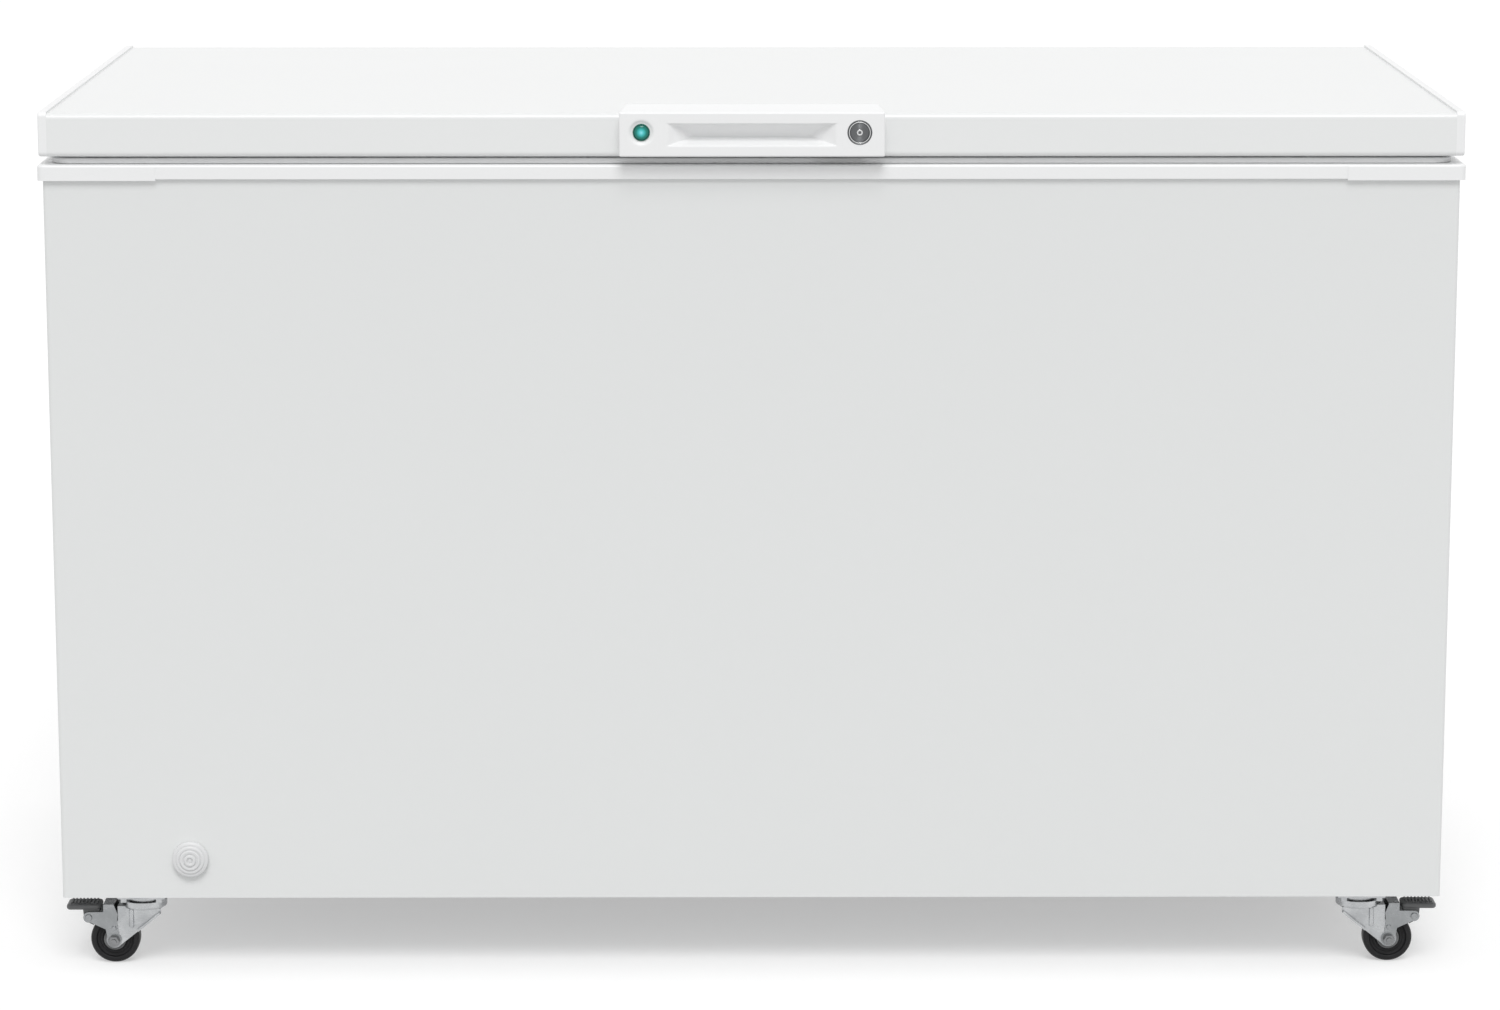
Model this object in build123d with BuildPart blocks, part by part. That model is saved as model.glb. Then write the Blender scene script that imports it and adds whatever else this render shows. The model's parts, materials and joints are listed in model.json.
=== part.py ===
"""Chest freezer on four casters, built as an assembly of separate pieces.

Lengths are in millimetres. +Z is up, -Y is the side with the handle, and +X is to the right of a
person who stands there. The origin is on the floor, under the middle of the overall box.
"""

import math
import os

from build123d import *

# Cabinet
BODY_WIDTH = 1400.0
BODY_DEPTH = 694.0
BASE_Z = 75.0
SHELL_TOP = 820.0
SHEET = 1.0
SHELL_CORNER = 4.0
WALL = 70.0
LINER_T = 1.0
BASE_T = 1.5
TUB_CORNER = 40.0
TUB_EDGE = 30.0

# Machine bay at the right end and the step that covers it inside the tub
BAY_WIDTH = 230.0
BAY_HEIGHT = 250.0
STEP_WALL = 60.0

# Rim moulding
RIM_T = 3.0
RIM_OVERHANG = 4.0
RIM_LIP = 14.0
RIM_INNER_T = 3.0
RIM_INNER_LIP = 18.0
RIM_CORNER = 6.0
RIM_ROUND = 2.5
CORNER_REACH = 115.0
CORNER_PROUD = 1.0
CORNER_DROP = 1.5
LEDGE_REACH = 12.0
LEDGE_T = 2.5

# Lid
SEAL_GAP = 8.0
SEAL_SQUEEZE = 0.3
SEAL_INSET = 14.5
SEAL_WIDTH = 14.0
SEAL_NECK = 3.0
SEAL_BULB = 4.0
SEAL_BASE = 1.7
SEAL_CORNER = 14.0
LID_HEIGHT = 42.5
LID_OVERHANG = 3.0
LID_EDGE = 5.0
LID_RETURN = 14.0
CAP_WIDTH = 8.5
CAP_RISE = 2.0
CAP_FLANGE = 14.0
CAP_FLANGE_T = 2.0
CAP_ROUND = 1.8
PLUG_DEPTH = 13.0
PLUG_GAP = 14.0
PLUG_TAPER = 25.0

# Handle with its finger recess, indicator and lock
HANDLE_WIDTH = 261.0
HANDLE_PROUD = 20.0
HANDLE_LIFT = 2.0
HANDLE_BROW = 3.5
HANDLE_CREST = 9.5
HANDLE_TAPER = 6.0
HANDLE_ROUND = 1.5
HANDLE_TUCK = 0.5
RECESS_END = 48.0
RECESS_HEIGHT = 22.0
RECESS_DEPTH = 15.0
RECESS_RISE = 22.0
RECESS_HIP = 23.5
RECESS_RIDGE_T = 1.0
RECESS_RIDGE_DROP = 4.5
FACE_RISE = 26.0
LENS_FROM_END = 21.9
LENS_R = 8.5
LENS_DISH_R = 13.5
LENS_DISH = 2.0
LENS_LENGTH = 12.0
LENS_DOME = 2.2
LOCK_FROM_END = 24.8
LOCK_RECESS_R = 12.4
LOCK_RECESS = 3.0
LOCK_BEZEL_R = 11.6
LOCK_SLEEVE_R = 10.9
LOCK_BARREL_R = 9.7
LOCK_STUB_R = 6.5
LOCK_PROUD = 0.8
LOCK_LAND = 0.6
LOCK_FACE_IN = 0.4
LOCK_FACE_BEVEL = 1.2
LOCK_TIP_STEP = 2.0
LOCK_TIP = 3.0
LOCK_TAIL = 1.0
KEY_SLOT_LENGTH = 6.0
KEY_SLOT_WIDTH = 1.6
CAM_REACH = 44.0
CAM_WIDTH = 7.0
CAM_HOOK = 10.0
CAM_HOOK_T = 4.0
CAM_T = 3.0
CAM_DEPTH = 4.5
KEEPER_T = 1.5
HOOK_CLEAR = 3.0
HOOK_SWING_CLEAR = 2.0
HOOK_FACE_CLEAR = 1.0
HOOK_SIDE_CLEAR = 0.5
POCKET_SIDE = 4.0
POCKET_BEHIND = 6.0
KEEPER_INSET = 6.0
KEEPER_MARGIN = 8.0

# Hinges
HINGE_FROM_SIDE = 250.0
PIN_BEHIND_LID = 14.0
PIN_BELOW_RIM = 5.0
PIN_R = 4.0
PIN_HEAD_R = 6.0
PIN_HEAD = 2.0
KNUCKLE_R = 9.0
HINGE_PLATE_T = 2.5
HINGE_PLATE_WIDTH = 74.0
HINGE_LEAF_HEIGHT = 36.0
HINGE_BASE_HEIGHT = 112.0
HINGE_BASE_SPAN = 50.0
HINGE_SIDE_GAP = 0.5
HINGE_SHOULDER = 11.0
HINGE_CHEEK = 66.0
LEAF_CHEEK_LOW = 2.0
LEAF_CHEEK_HIGH = 8.0
SPRING_WIRE_R = 1.4
SPRING_TURNS = 5
SPRING_STEPS = 4
SPRING_PITCH = 4.4
SPRING_TOE = 5.0
SPRING_PIN_GAP = 0.8
SPRING_WIRE_SIDES = 6
SCREW_HEAD_R = 4.5
SCREW_HEAD = 2.2
SCREW_INSET = 6.0
SCREW_END = 12.0
SCREW_TAPER = 12.0

# Drain
DRAIN_FROM_SIDE = 131.0
DRAIN_Z = 116.0
DRAIN_BEHIND_LINER = 52.0
DRAIN_BEND = 22.0
TUBE_OUT_R = 10.0
TUBE_IN_R = 8.0
COLLAR_R = 16.0
COLLAR_BODY_R = 13.0
COLLAR_T = 2.0
COLLAR_LENGTH = 24.0
DRAIN_CAP_R = 18.25
DRAIN_CAP_HEIGHT = 10.0
DRAIN_CAP_SKIN = 3.0
DRAIN_CAP_CLEAR = 0.3
DRAIN_SEAT = 0.2
DRAIN_CAP_LEAD = 3.0
DRAIN_CAP_NOSE = 1.5
DRAIN_CAP_SHORT = 1.0
DRAIN_CAP_RINGS = [
    (0.0, 1.2),
    (3.0, 1.2),
    (3.6, 0.0),
    (6.0, 0.0),
    (7.0, 1.0),
    (10.5, 1.0),
    (11.5, 2.2),
    (14.5, 2.2),
    (15.5, 3.4),
    (17.25, 3.8),
]
STOPPER_R = 15.0
STOPPER_T = 4.0
STOPPER_PLUG = 18.0
STOPPER_TAB = 16.0
STOPPER_BEVEL = 3.0
STOPPER_BEVEL_T = 2.5
STOPPER_LEAD = 3.0
STOPPER_NOSE = 2.0
STOPPER_ROOT = 1.0
STOPPER_TAB_T = 3.0
STOPPER_HOLE_RISE = 2.0

# Refrigeration
COIL_TUBE = 7.0
EVAPORATOR_ROWS = 5
EVAPORATOR_PITCH = 80.0
EVAPORATOR_START = 430.0
EVAPORATOR_GAP = 120.0
EVAPORATOR_BEND = 20.0
CONDENSER_ROWS = 5
CONDENSER_PITCH = 110.0
CONDENSER_START = 220.0
CONDENSER_FROM_SIDE = 260.0
CONDENSER_BEND = 30.0
COMPRESSOR_R = 72.0
COMPRESSOR_HEIGHT = 168.0
COMPRESSOR_DOME = 34.0
COMPRESSOR_SEAM = 3.0
COMPRESSOR_FROM_BACK = 200.0
COMPRESSOR_FOOT_X = 70.0
COMPRESSOR_FOOT_Y = 62.0
COMPRESSOR_FOOT_R = 14.0
COMPRESSOR_FOOT_T = 3.0
COMPRESSOR_STUB = 46.0
COMPRESSOR_STUBS = [(200, 20, 5.0), (230, -30, 3.5), (160, -30, 3.5)]
MOUNT_R = 10.0
MOUNT_WAIST_R = 7.5
MOUNT_HEIGHT = 18.0
MOUNT_GROOVE = 5.4
TRAY_T = 2.0
TRAY_FLANGE = 14.0
TRAY_DEPTH = 250.0
TRAY_CLEAR = 8.0
PAN_SLOT_PITCH = 20.0
PAN_SLOTS = 5
RELAY_WIDTH = 56.0
RELAY_HEIGHT = 70.0
RELAY_DEPTH = 36.0
RELAY_SINK = 6.0
DRIER_R = 11.0
DRIER_LENGTH = 90.0
DRIER_NECK_R = 3.5
DRIER_NECK = 22.0

# Ventilation grille with the thermostat and its dial
GRILLE_WIDTH = 290.0
GRILLE_HEIGHT = 190.0
GRILLE_FLANGE = 9.0
GRILLE_T = 2.5
GRILLE_DEPTH = 9.0
GRILLE_CORNER = 10.0
GRILLE_FROM_BACK = 330.0
GRILLE_RISE = 125.0
GRILLE_SLOT = 8.0
GRILLE_PITCH = 17.0
GRILLE_SLOTS = 9
GRILLE_LENGTH = 188.0
DIAL_PANEL = 74.0
DIAL_R = 19.0
DIAL_CLEAR = 1.0
DIAL_WELL = 7.0
DIAL_PROUD = 1.5
DIAL_GRIP = 6.0
DIAL_STEM_R = 3.0
DIAL_STEM = 14.0
DIAL_FLOAT = 0.3
DIAL_FOOT = 1.0
DIAL_STEP = 2.0
THERMOSTAT_WIDTH = 46.0
THERMOSTAT_HEIGHT = 40.0
THERMOSTAT_DEPTH = 30.0

# Power inlet on the back panel
GLAND_FROM_SIDE = 140.0
GLAND_Z = 150.0
GLAND_R = 13.0
GLAND_STEM_R = 10.0
GLAND_NOSE_R = 9.0
GLAND_FLANGE = 2.5
GLAND_LENGTH = 11.0
GLAND_INSIDE = 8.0
GLAND_BORE_R = 4.5

# Wire baskets
BASKET_WIDTH = 290.0
BASKET_DROP = 205.0
BASKET_END_GAP = 6.0
BASKET_SIDE_GAP = 3.0
BASKET_LEDGE_GAP = 1.5
WIRE = 4.0
WIRE_SIDES = 8
BASKET_RIBS = 7
BASKET_STAYS = 3

# Casters
CASTER_INSET_X = 79.0
CASTER_INSET_Y = 33.0
CASTER_TRAIL = 30.0
WHEEL_R = 25.0
WHEEL_WIDTH = 20.0
WHEEL_ROUND = 4.0
WHEEL_RIM_R = 20.5
WHEEL_DISH = 2.5
WHEEL_RIM_SLOPE = 1.5
HUB_SLOPE = 1.0
HUB_R = 9.0
HUB_WIDTH = 23.0
AXLE_R = 3.0
AXLE_NUT = 10.0
AXLE_NUT_T = 4.5
WASHER_R = 6.2
WASHER_T = 1.2
LEG_GAP = 24.0
LEG_T = 2.2
LEG_EYE_R = 8.0
LEG_FOOT_X = 6.0
LEG_FOOT_Z = 5.28
LEG_FRONT_INSET = 5.0
LEG_BACK_INSET = 2.0
LEG_BACK_DROP = 12.0
LEG_BEAD_X = -12.0
LEG_BEAD_LOW = 38.0
LEG_BEAD = 5.0
LEG_BEAD_T = 1.2
LEG_FLANGE = 4.0
LEG_FLANGE_SHARE = 0.45
LEG_BEAD_TAPER = 30.0
CROWN_Z = 58.5
CROWN_T = 2.5
CROWN_R = 23.0
CROWN_WALL = 2.0
CROWN_TOP = 66.0
CROWN_BACK = 26.0
CROWN_BEVEL = 0.6
RACE_R = 18.0
RACE_GAP = 0.4
RACE_STEP = 2.0
RACE_TAPER = 3.0
KINGPIN_R = 4.0
KINGPIN_HEAD_R = 7.0
KINGPIN_HEAD = 3.0
KINGPIN_TAPER = 2.0
PLATE_X = 50.0
PLATE_Y = 60.0
PLATE_T = 2.5
PLATE_CORNER = 4.0
BOLT_X = 36.0
BOLT_Y = 46.0
BOLT_R = 3.0
BOLT_HEAD = 10.0
BOLT_HEAD_T = 4.0
RUNNING_FIT = 0.05

# Brakes of the front casters
BRACKET_T = 1.8
BRACKET_EYE_R = 7.5
BRACKET_BACK_INSET = 1.0
BRACKET_FRONT_INSET = 2.0
BRACKET_HEEL = (2.0, 12.0)
BRACKET_EAR_INSET = 2.0
BRACKET_SHOULDER = 8.0
BRACKET_NECK = [(4.0, 28.0), (3.0, 18.0)]
RIVET_TAPER = 20.0
PEDAL_PIN_FLANGE = 1.2
PEDAL_PIN_HEAD = 1.5
PEDAL_WEB_TOP = (-6.0, 11.0)
PEDAL_WEB_ROOT = 1.0
PEDAL_WEB_BACK = [(-5.0, -4.0), (-2.0, -5.5)]
PEDAL_WEB_FRONT = (7.0, -3.0)
PEDAL_WEB_CLEAR = 2.0
PEDAL_GRIPS = 8
PEDAL_GRIP_PITCH = 3.6
PEDAL_GRIP_WIDTH = 1.8
PEDAL_PIVOT_X = -25.6
PEDAL_PIVOT_Z = 24.5
PEDAL_PIN_R = 2.5
PEDAL_EAR_R = 5.5
PEDAL_WIDTH = 25.0
PEDAL_TIP = -48.6
PEDAL_HEEL = -13.5
PEDAL_TOP_Z = 38.4
PEDAL_T = 7.2
PEDAL_GRIP_T = 1.2
PEDAL_ROUND = 2.6
BRACKET_RIVET_Z = 13.0
BRACKET_RIVET_R = 2.7
BRACKET_RIVET_T = 1.4
BRAKE_GAP = 0.4
BRAKE_SWING = 20.0
STRAP_BACK = 10.5
STRAP_WIDTH = 10.5
STRAP_TOP_Z = 38.2
STRAP_T = 2.0

# Levels and planes that follow from the sizes above
HINGE_REACH = PIN_BEHIND_LID + KNUCKLE_R
Y_MID = (HANDLE_PROUD + LOCK_PROUD - HINGE_REACH) / 2
X_SIDE = BODY_WIDTH / 2
Y_FRONT = Y_MID - BODY_DEPTH / 2
Y_BACK = Y_MID + BODY_DEPTH / 2
DRAIN_X = DRAIN_FROM_SIDE - X_SIDE
GLAND_X = X_SIDE - GLAND_FROM_SIDE
HINGE_X = X_SIDE - HINGE_FROM_SIDE
CONDENSER_END_X = X_SIDE - CONDENSER_FROM_SIDE
LENS_X = LENS_FROM_END - HANDLE_WIDTH / 2
LOCK_X = HANDLE_WIDTH / 2 - LOCK_FROM_END
RECESS_WIDTH = HANDLE_WIDTH - 2 * RECESS_END
RECESS_RIDGE = RECESS_WIDTH - 2 * RECESS_HIP
GRILLE_Y = Y_BACK - GRILLE_FROM_BACK
GRILLE_Z = BASE_Z + GRILLE_RISE
FLOOR_TOP = BASE_Z + BASE_T
TUB_X = X_SIDE - SHEET - WALL - LINER_T
TUB_DEPTH = BODY_DEPTH - 2 * (SHEET + WALL + LINER_T)
TUB_FRONT = Y_MID - TUB_DEPTH / 2
TUB_BACK = Y_MID + TUB_DEPTH / 2
TUB_FLOOR = FLOOR_TOP + WALL + LINER_T
BAY_X = X_SIDE - SHEET - BAY_WIDTH
BAY_TOP = FLOOR_TOP + BAY_HEIGHT
STEP_X = BAY_X - STEP_WALL - LINER_T
STEP_Z = BAY_TOP + STEP_WALL + LINER_T
RIM_TOP = SHELL_TOP + RIM_T
LID_Z0 = RIM_TOP + SEAL_GAP
LID_Z1 = LID_Z0 + LID_HEIGHT
LID_FRONT = Y_FRONT - LID_OVERHANG
LID_BACK = Y_BACK + LID_OVERHANG
LID_DEPTH = LID_BACK - LID_FRONT
LID_X = X_SIDE + LID_OVERHANG
PANEL_X = LID_X - CAP_WIDTH
HANDLE_FACE = LID_FRONT - HANDLE_PROUD
HANDLE_BACK = LID_FRONT + LID_EDGE - HANDLE_TUCK
FACE_Z = LID_Z0 + FACE_RISE
PIN_Y = LID_BACK + PIN_BEHIND_LID
PIN_Z = RIM_TOP - PIN_BELOW_RIM
PLATE_Z = BASE_Z - PLATE_T

PARTS = "parts"


def block(low, high, mode=Mode.ADD):
    """A box between two opposite corners, added to the part that is open."""
    low, high = Vector(*low), Vector(*high)
    size = high - low
    with Locations((low + high) / 2):
        Box(size.X, size.Y, size.Z, mode=mode)


def turned_along_y(centre, outline):
    """A turned body on a front-to-back axis, from points of radius and distance towards the back."""
    with BuildPart() as body:
        with BuildSketch(Plane(centre)):
            with BuildLine():
                Polyline(*outline, close=True)
            make_face()
        revolve(axis=Axis(centre, (0, 1, 0)))
    return body.part


def turned_along_z(centre, outline):
    """A turned body on an upright axis, from points of radius and height."""
    with BuildPart() as body:
        with BuildSketch(Plane(centre, x_dir=(1, 0, 0), z_dir=(0, -1, 0))):
            with BuildLine():
                Polyline(*outline, close=True)
            make_face()
        revolve(axis=Axis(centre, (0, 0, 1)))
    return body.part


def turned_along_x(centre, outline):
    """A turned body on a left-to-right axis, from points of radius and distance towards the right."""
    with BuildPart() as body:
        with BuildSketch(Plane(centre, x_dir=(0, 0, 1), z_dir=(0, 1, 0))):
            with BuildLine():
                Polyline(*outline, close=True)
            make_face()
        revolve(axis=Axis(centre, (1, 0, 0)))
    return body.part


def write(part, name):
    """Labels a finished piece and writes it as its own STEP file."""
    part.label = name
    export_step(part, f"{PARTS}/{name}.step")


os.makedirs(PARTS, exist_ok=True)


# Outer wrapper: front and side panels in one bent sheet, open at the back
with BuildPart() as outer_shell:
    with BuildSketch(Plane.XY.offset(BASE_Z)) as wrap:
        with Locations((0, Y_MID)):
            Rectangle(BODY_WIDTH, BODY_DEPTH)
        fillet(wrap.vertices().group_by(Axis.Y)[0], SHELL_CORNER)
        with BuildSketch(mode=Mode.SUBTRACT) as hollow:
            with Locations((0, Y_MID + SHEET)):
                Rectangle(BODY_WIDTH - 2 * SHEET, BODY_DEPTH)
            fillet(hollow.vertices().group_by(Axis.Y)[0], SHELL_CORNER - SHEET)
    extrude(amount=SHELL_TOP - BASE_Z)
    with BuildSketch(Plane.XZ.offset(-Y_FRONT)):
        with Locations((DRAIN_X, DRAIN_Z)):
            Circle(COLLAR_BODY_R)
    extrude(amount=-SHEET, mode=Mode.SUBTRACT)
    with BuildSketch(Plane.YZ.offset(X_SIDE)):
        with Locations((GRILLE_Y, GRILLE_Z)):
            Rectangle(GRILLE_WIDTH - 2 * GRILLE_FLANGE, GRILLE_HEIGHT - 2 * GRILLE_FLANGE)
    extrude(amount=-SHEET, mode=Mode.SUBTRACT)
write(outer_shell.part, "outer_shell")

with BuildPart() as back_panel:
    block(
        (-X_SIDE + SHEET, Y_BACK - SHEET, BASE_Z),
        (X_SIDE - SHEET, Y_BACK, SHELL_TOP),
    )
    with BuildSketch(Plane.XZ.offset(-Y_BACK)):
        with Locations((GLAND_X, GLAND_Z)):
            Circle(GLAND_STEM_R)
    extrude(amount=SHEET, mode=Mode.SUBTRACT)
write(back_panel.part, "back_panel")

CASTER_SPREAD_X = 2 * (X_SIDE - CASTER_INSET_X)
CASTER_SPREAD_Y = BODY_DEPTH - 2 * CASTER_INSET_Y


def caster_bolt_places():
    """The bolt places of the four caster plates, as (x, y) pairs."""
    return [
        (
            (side * CASTER_SPREAD_X + bolt_x * BOLT_X) / 2,
            Y_MID + (end * CASTER_SPREAD_Y + bolt_y * BOLT_Y) / 2,
        )
        for side in (-1, 1)
        for end in (-1, 1)
        for bolt_x in (-1, 1)
        for bolt_y in (-1, 1)
    ]


COMPRESSOR_X = BAY_X + BAY_WIDTH / 2
COMPRESSOR_Y = Y_BACK - COMPRESSOR_FROM_BACK
TRAY_TOP = FLOOR_TOP + TRAY_T

with BuildPart() as base_pan:
    with BuildSketch(Plane.XY.offset(BASE_Z)) as pan:
        with Locations((0, Y_MID)):
            Rectangle(BODY_WIDTH - 2 * SHEET, BODY_DEPTH - 2 * SHEET)
        fillet(pan.vertices().group_by(Axis.Y)[0], SHELL_CORNER - SHEET)
        with Locations(*caster_bolt_places()):
            Circle(BOLT_R + RUNNING_FIT, mode=Mode.SUBTRACT)
        with Locations((COMPRESSOR_X, COMPRESSOR_Y - TRAY_DEPTH)):
            with GridLocations(0, PAN_SLOT_PITCH, 1, PAN_SLOTS):
                SlotOverall(BAY_WIDTH / 2, GRILLE_SLOT, mode=Mode.SUBTRACT)
    extrude(amount=BASE_T)
write(base_pan.part, "base_pan")


def tub(grow):
    """The stepped storage space, grown all round by a skin thickness and open at the rim."""
    with BuildPart() as space:
        with BuildSketch(Plane.XZ.offset(-(TUB_FRONT - grow))) as side:
            with BuildLine():
                Polyline(
                    (-TUB_X - grow, SHELL_TOP),
                    (-TUB_X - grow, TUB_FLOOR - grow),
                    (STEP_X + grow, TUB_FLOOR - grow),
                    (STEP_X + grow, STEP_Z - grow),
                    (TUB_X + grow, STEP_Z - grow),
                    (TUB_X + grow, SHELL_TOP),
                    close=True,
                )
            make_face()
            lower = side.vertices().filter_by(lambda corner: corner.Y < SHELL_TOP)
            step_edge = lower.filter_by(lambda corner: corner.Y > TUB_FLOOR).sort_by(Axis.X)[0]
            fillet(step_edge, TUB_EDGE - grow)
            fillet([corner for corner in lower if corner != step_edge], TUB_CORNER + grow)
        extrude(amount=-(TUB_DEPTH + 2 * grow))
        ends = space.faces().filter_by(Axis.Y).edges()
        fillet(ends.filter_by(lambda edge: edge.center().Z < SHELL_TOP), TUB_EDGE + grow)
    return space.part


tub_inside = tub(0.0)
tub_outside = tub(LINER_T)
DRAIN_Y = TUB_FRONT + DRAIN_BEHIND_LINER

with BuildPart() as inner_liner:
    add(tub_outside)
    add(tub_inside, mode=Mode.SUBTRACT)
    with BuildSketch(Plane.XY.offset(TUB_FLOOR)):
        with Locations((DRAIN_X, DRAIN_Y)):
            Circle(TUBE_OUT_R)
    extrude(amount=-LINER_T, mode=Mode.SUBTRACT)
write(inner_liner.part, "inner_liner")


# Drain: a bent tube from the tub floor to the front panel, with a collar, an outer cap and a stopper
def drain_route():
    """The middle line of the drain tube, from the tub floor to the front panel."""
    with BuildLine() as route:
        FilletPolyline(
            (DRAIN_X, DRAIN_Y, TUB_FLOOR),
            (DRAIN_X, DRAIN_Y, DRAIN_Z),
            (DRAIN_X, Y_FRONT + SHEET, DRAIN_Z),
            radius=DRAIN_BEND,
        )
    return route.line


def drain_sweep(radius):
    """A round bar along the drain's route."""
    route = drain_route()
    with BuildPart() as bar:
        with BuildSketch(Plane(route @ 0, z_dir=route % 0)):
            Circle(radius)
        sweep(path=route)
    return bar.part


drain_outside = drain_sweep(TUBE_OUT_R)
drain_bore = drain_sweep(TUBE_IN_R)

with BuildPart() as drain_tube:
    add(drain_outside)
    add(drain_bore, mode=Mode.SUBTRACT)
write(drain_tube.part, "drain_tube")

DRAIN_MOUTH = (DRAIN_X, Y_FRONT, DRAIN_Z)
drain_collar = turned_along_y(
    DRAIN_MOUTH,
    [
        (TUBE_OUT_R, SHEET),
        (TUBE_IN_R, SHEET),
        (TUBE_IN_R, -COLLAR_T),
        (COLLAR_R, -COLLAR_T),
        (COLLAR_R, 0),
        (COLLAR_BODY_R, 0),
        (COLLAR_BODY_R, COLLAR_LENGTH),
        (TUBE_OUT_R, COLLAR_LENGTH),
    ],
)
write(drain_collar, "drain_collar")

CAP_BACK = -COLLAR_T - DRAIN_SEAT
CAP_FRONT = -DRAIN_CAP_HEIGHT
CAP_END = COLLAR_LENGTH - DRAIN_CAP_SHORT
PLUG_R = TUBE_IN_R - 2 * RUNNING_FIT
drain_cap = turned_along_y(
    DRAIN_MOUTH,
    [
        *[(radius, CAP_FRONT + depth) for radius, depth in DRAIN_CAP_RINGS],
        (DRAIN_CAP_R, CAP_FRONT + DRAIN_CAP_HEIGHT / 2),
        (DRAIN_CAP_R, -DRAIN_CAP_CLEAR),
        (COLLAR_R + DRAIN_CAP_CLEAR, -DRAIN_CAP_CLEAR),
        (COLLAR_R + DRAIN_CAP_CLEAR, CAP_BACK),
        (PLUG_R, CAP_BACK),
        (PLUG_R, CAP_END - DRAIN_CAP_LEAD),
        (PLUG_R - DRAIN_CAP_NOSE, CAP_END),
        (PLUG_R - DRAIN_CAP_SKIN, CAP_END),
        (PLUG_R - DRAIN_CAP_SKIN, CAP_BACK),
        (0, CAP_BACK),
    ],
)
write(drain_cap, "drain_cap")

with BuildPart() as drain_plug:
    add(
        turned_along_z(
            (DRAIN_X, DRAIN_Y, TUB_FLOOR),
            [
                (0, STOPPER_T),
                (STOPPER_R - STOPPER_BEVEL, STOPPER_T),
                (STOPPER_R, STOPPER_T - STOPPER_BEVEL_T),
                (STOPPER_R, DRAIN_SEAT),
                (PLUG_R, DRAIN_SEAT),
                (PLUG_R, -STOPPER_PLUG / 2 + STOPPER_LEAD),
                (PLUG_R - STOPPER_NOSE, -STOPPER_PLUG / 2),
                (0, -STOPPER_PLUG / 2),
            ],
        )
    )
    with BuildSketch(Plane.XZ.offset(-DRAIN_Y)):
        with Locations((DRAIN_X, TUB_FLOOR + STOPPER_T + STOPPER_TAB / 2 - STOPPER_ROOT)):
            tab_width = STOPPER_TAB / 2 + 2 * STOPPER_ROOT
            SlotOverall(STOPPER_TAB + 2 * STOPPER_ROOT, tab_width, rotation=90)
            with Locations((0, STOPPER_HOLE_RISE)):
                Circle(STOPPER_TAB / 6, mode=Mode.SUBTRACT)
    extrude(amount=STOPPER_TAB_T / 2, both=True)
write(drain_plug.part, "drain_plug")


# Refrigerant coils, which lie against the liner and against the outer wrapper
def coil(route, start_plane):
    """A square tube along a route."""
    with BuildPart() as tube:
        with BuildSketch(start_plane):
            Rectangle(COIL_TUBE, COIL_TUBE)
        sweep(path=route)
    return tube.part


def evaporator():
    """Rows that go round the liner and turn back at the middle of its back wall."""
    x_run = TUB_X + LINER_T + COIL_TUBE / 2
    y_front = TUB_FRONT - LINER_T - COIL_TUBE / 2
    y_back = TUB_BACK + LINER_T + COIL_TUBE / 2
    corner = TUB_EDGE + LINER_T + COIL_TUBE / 2
    points = []
    bends = []
    for row in range(EVAPORATOR_ROWS):
        z = EVAPORATOR_START + row * EVAPORATOR_PITCH
        turn = 1 if row % 2 == 0 else -1
        points += [
            (turn * EVAPORATOR_GAP / 2, y_back, z),
            (turn * x_run, y_back, z),
            (turn * x_run, y_front, z),
            (-turn * x_run, y_front, z),
            (-turn * x_run, y_back, z),
            (-turn * EVAPORATOR_GAP / 2, y_back, z),
        ]
        bends += [EVAPORATOR_BEND, corner, corner, corner, corner, EVAPORATOR_BEND]
    with BuildLine() as route:
        FilletPolyline(*points, radius=bends[1:-1])
    return coil(route.line, Plane(points[0], z_dir=(1, 0, 0)))


def condenser():
    """Rows that run along the back, the left side and the front of the wrapper."""
    x_left = -X_SIDE + SHEET + COIL_TUBE / 2
    y_front = Y_FRONT + SHEET + COIL_TUBE / 2
    y_back = Y_BACK - SHEET - COIL_TUBE / 2
    points = []
    for row in range(CONDENSER_ROWS):
        z = CONDENSER_START + row * CONDENSER_PITCH
        near, far = (y_back, y_front) if row % 2 == 0 else (y_front, y_back)
        points += [
            (CONDENSER_END_X, near, z),
            (x_left, near, z),
            (x_left, far, z),
            (CONDENSER_END_X, far, z),
        ]
    with BuildLine() as route:
        FilletPolyline(*points, radius=CONDENSER_BEND)
    return coil(route.line, Plane(points[0], z_dir=(-1, 0, 0)))


evaporator_coil = evaporator()
write(evaporator_coil, "evaporator_coil")
condenser_coil = condenser()
write(condenser_coil, "condenser_coil")


# Lock cam: it hangs behind the handle and hooks under the keeper when the key turns it down
def hook_slot(low_z, high_z):
    """The slot that the hook swings down through, in the lid's edge, the rim and the keeper."""
    reach = math.sqrt((CAM_REACH + HOOK_SWING_CLEAR) ** 2 - (FACE_Z - LID_Z0 - SHEET) ** 2)
    slot_left = LOCK_X - reach - CAM_WIDTH / 2
    slot_right = LOCK_X + CAM_WIDTH / 2 + HOOK_SIDE_CLEAR
    block(
        (slot_left, LID_FRONT + CAM_DEPTH - HOOK_FACE_CLEAR, low_z),
        (slot_right, LID_FRONT + CAM_DEPTH + CAM_T + HOOK_FACE_CLEAR, high_z),
        Mode.SUBTRACT,
    )


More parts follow.
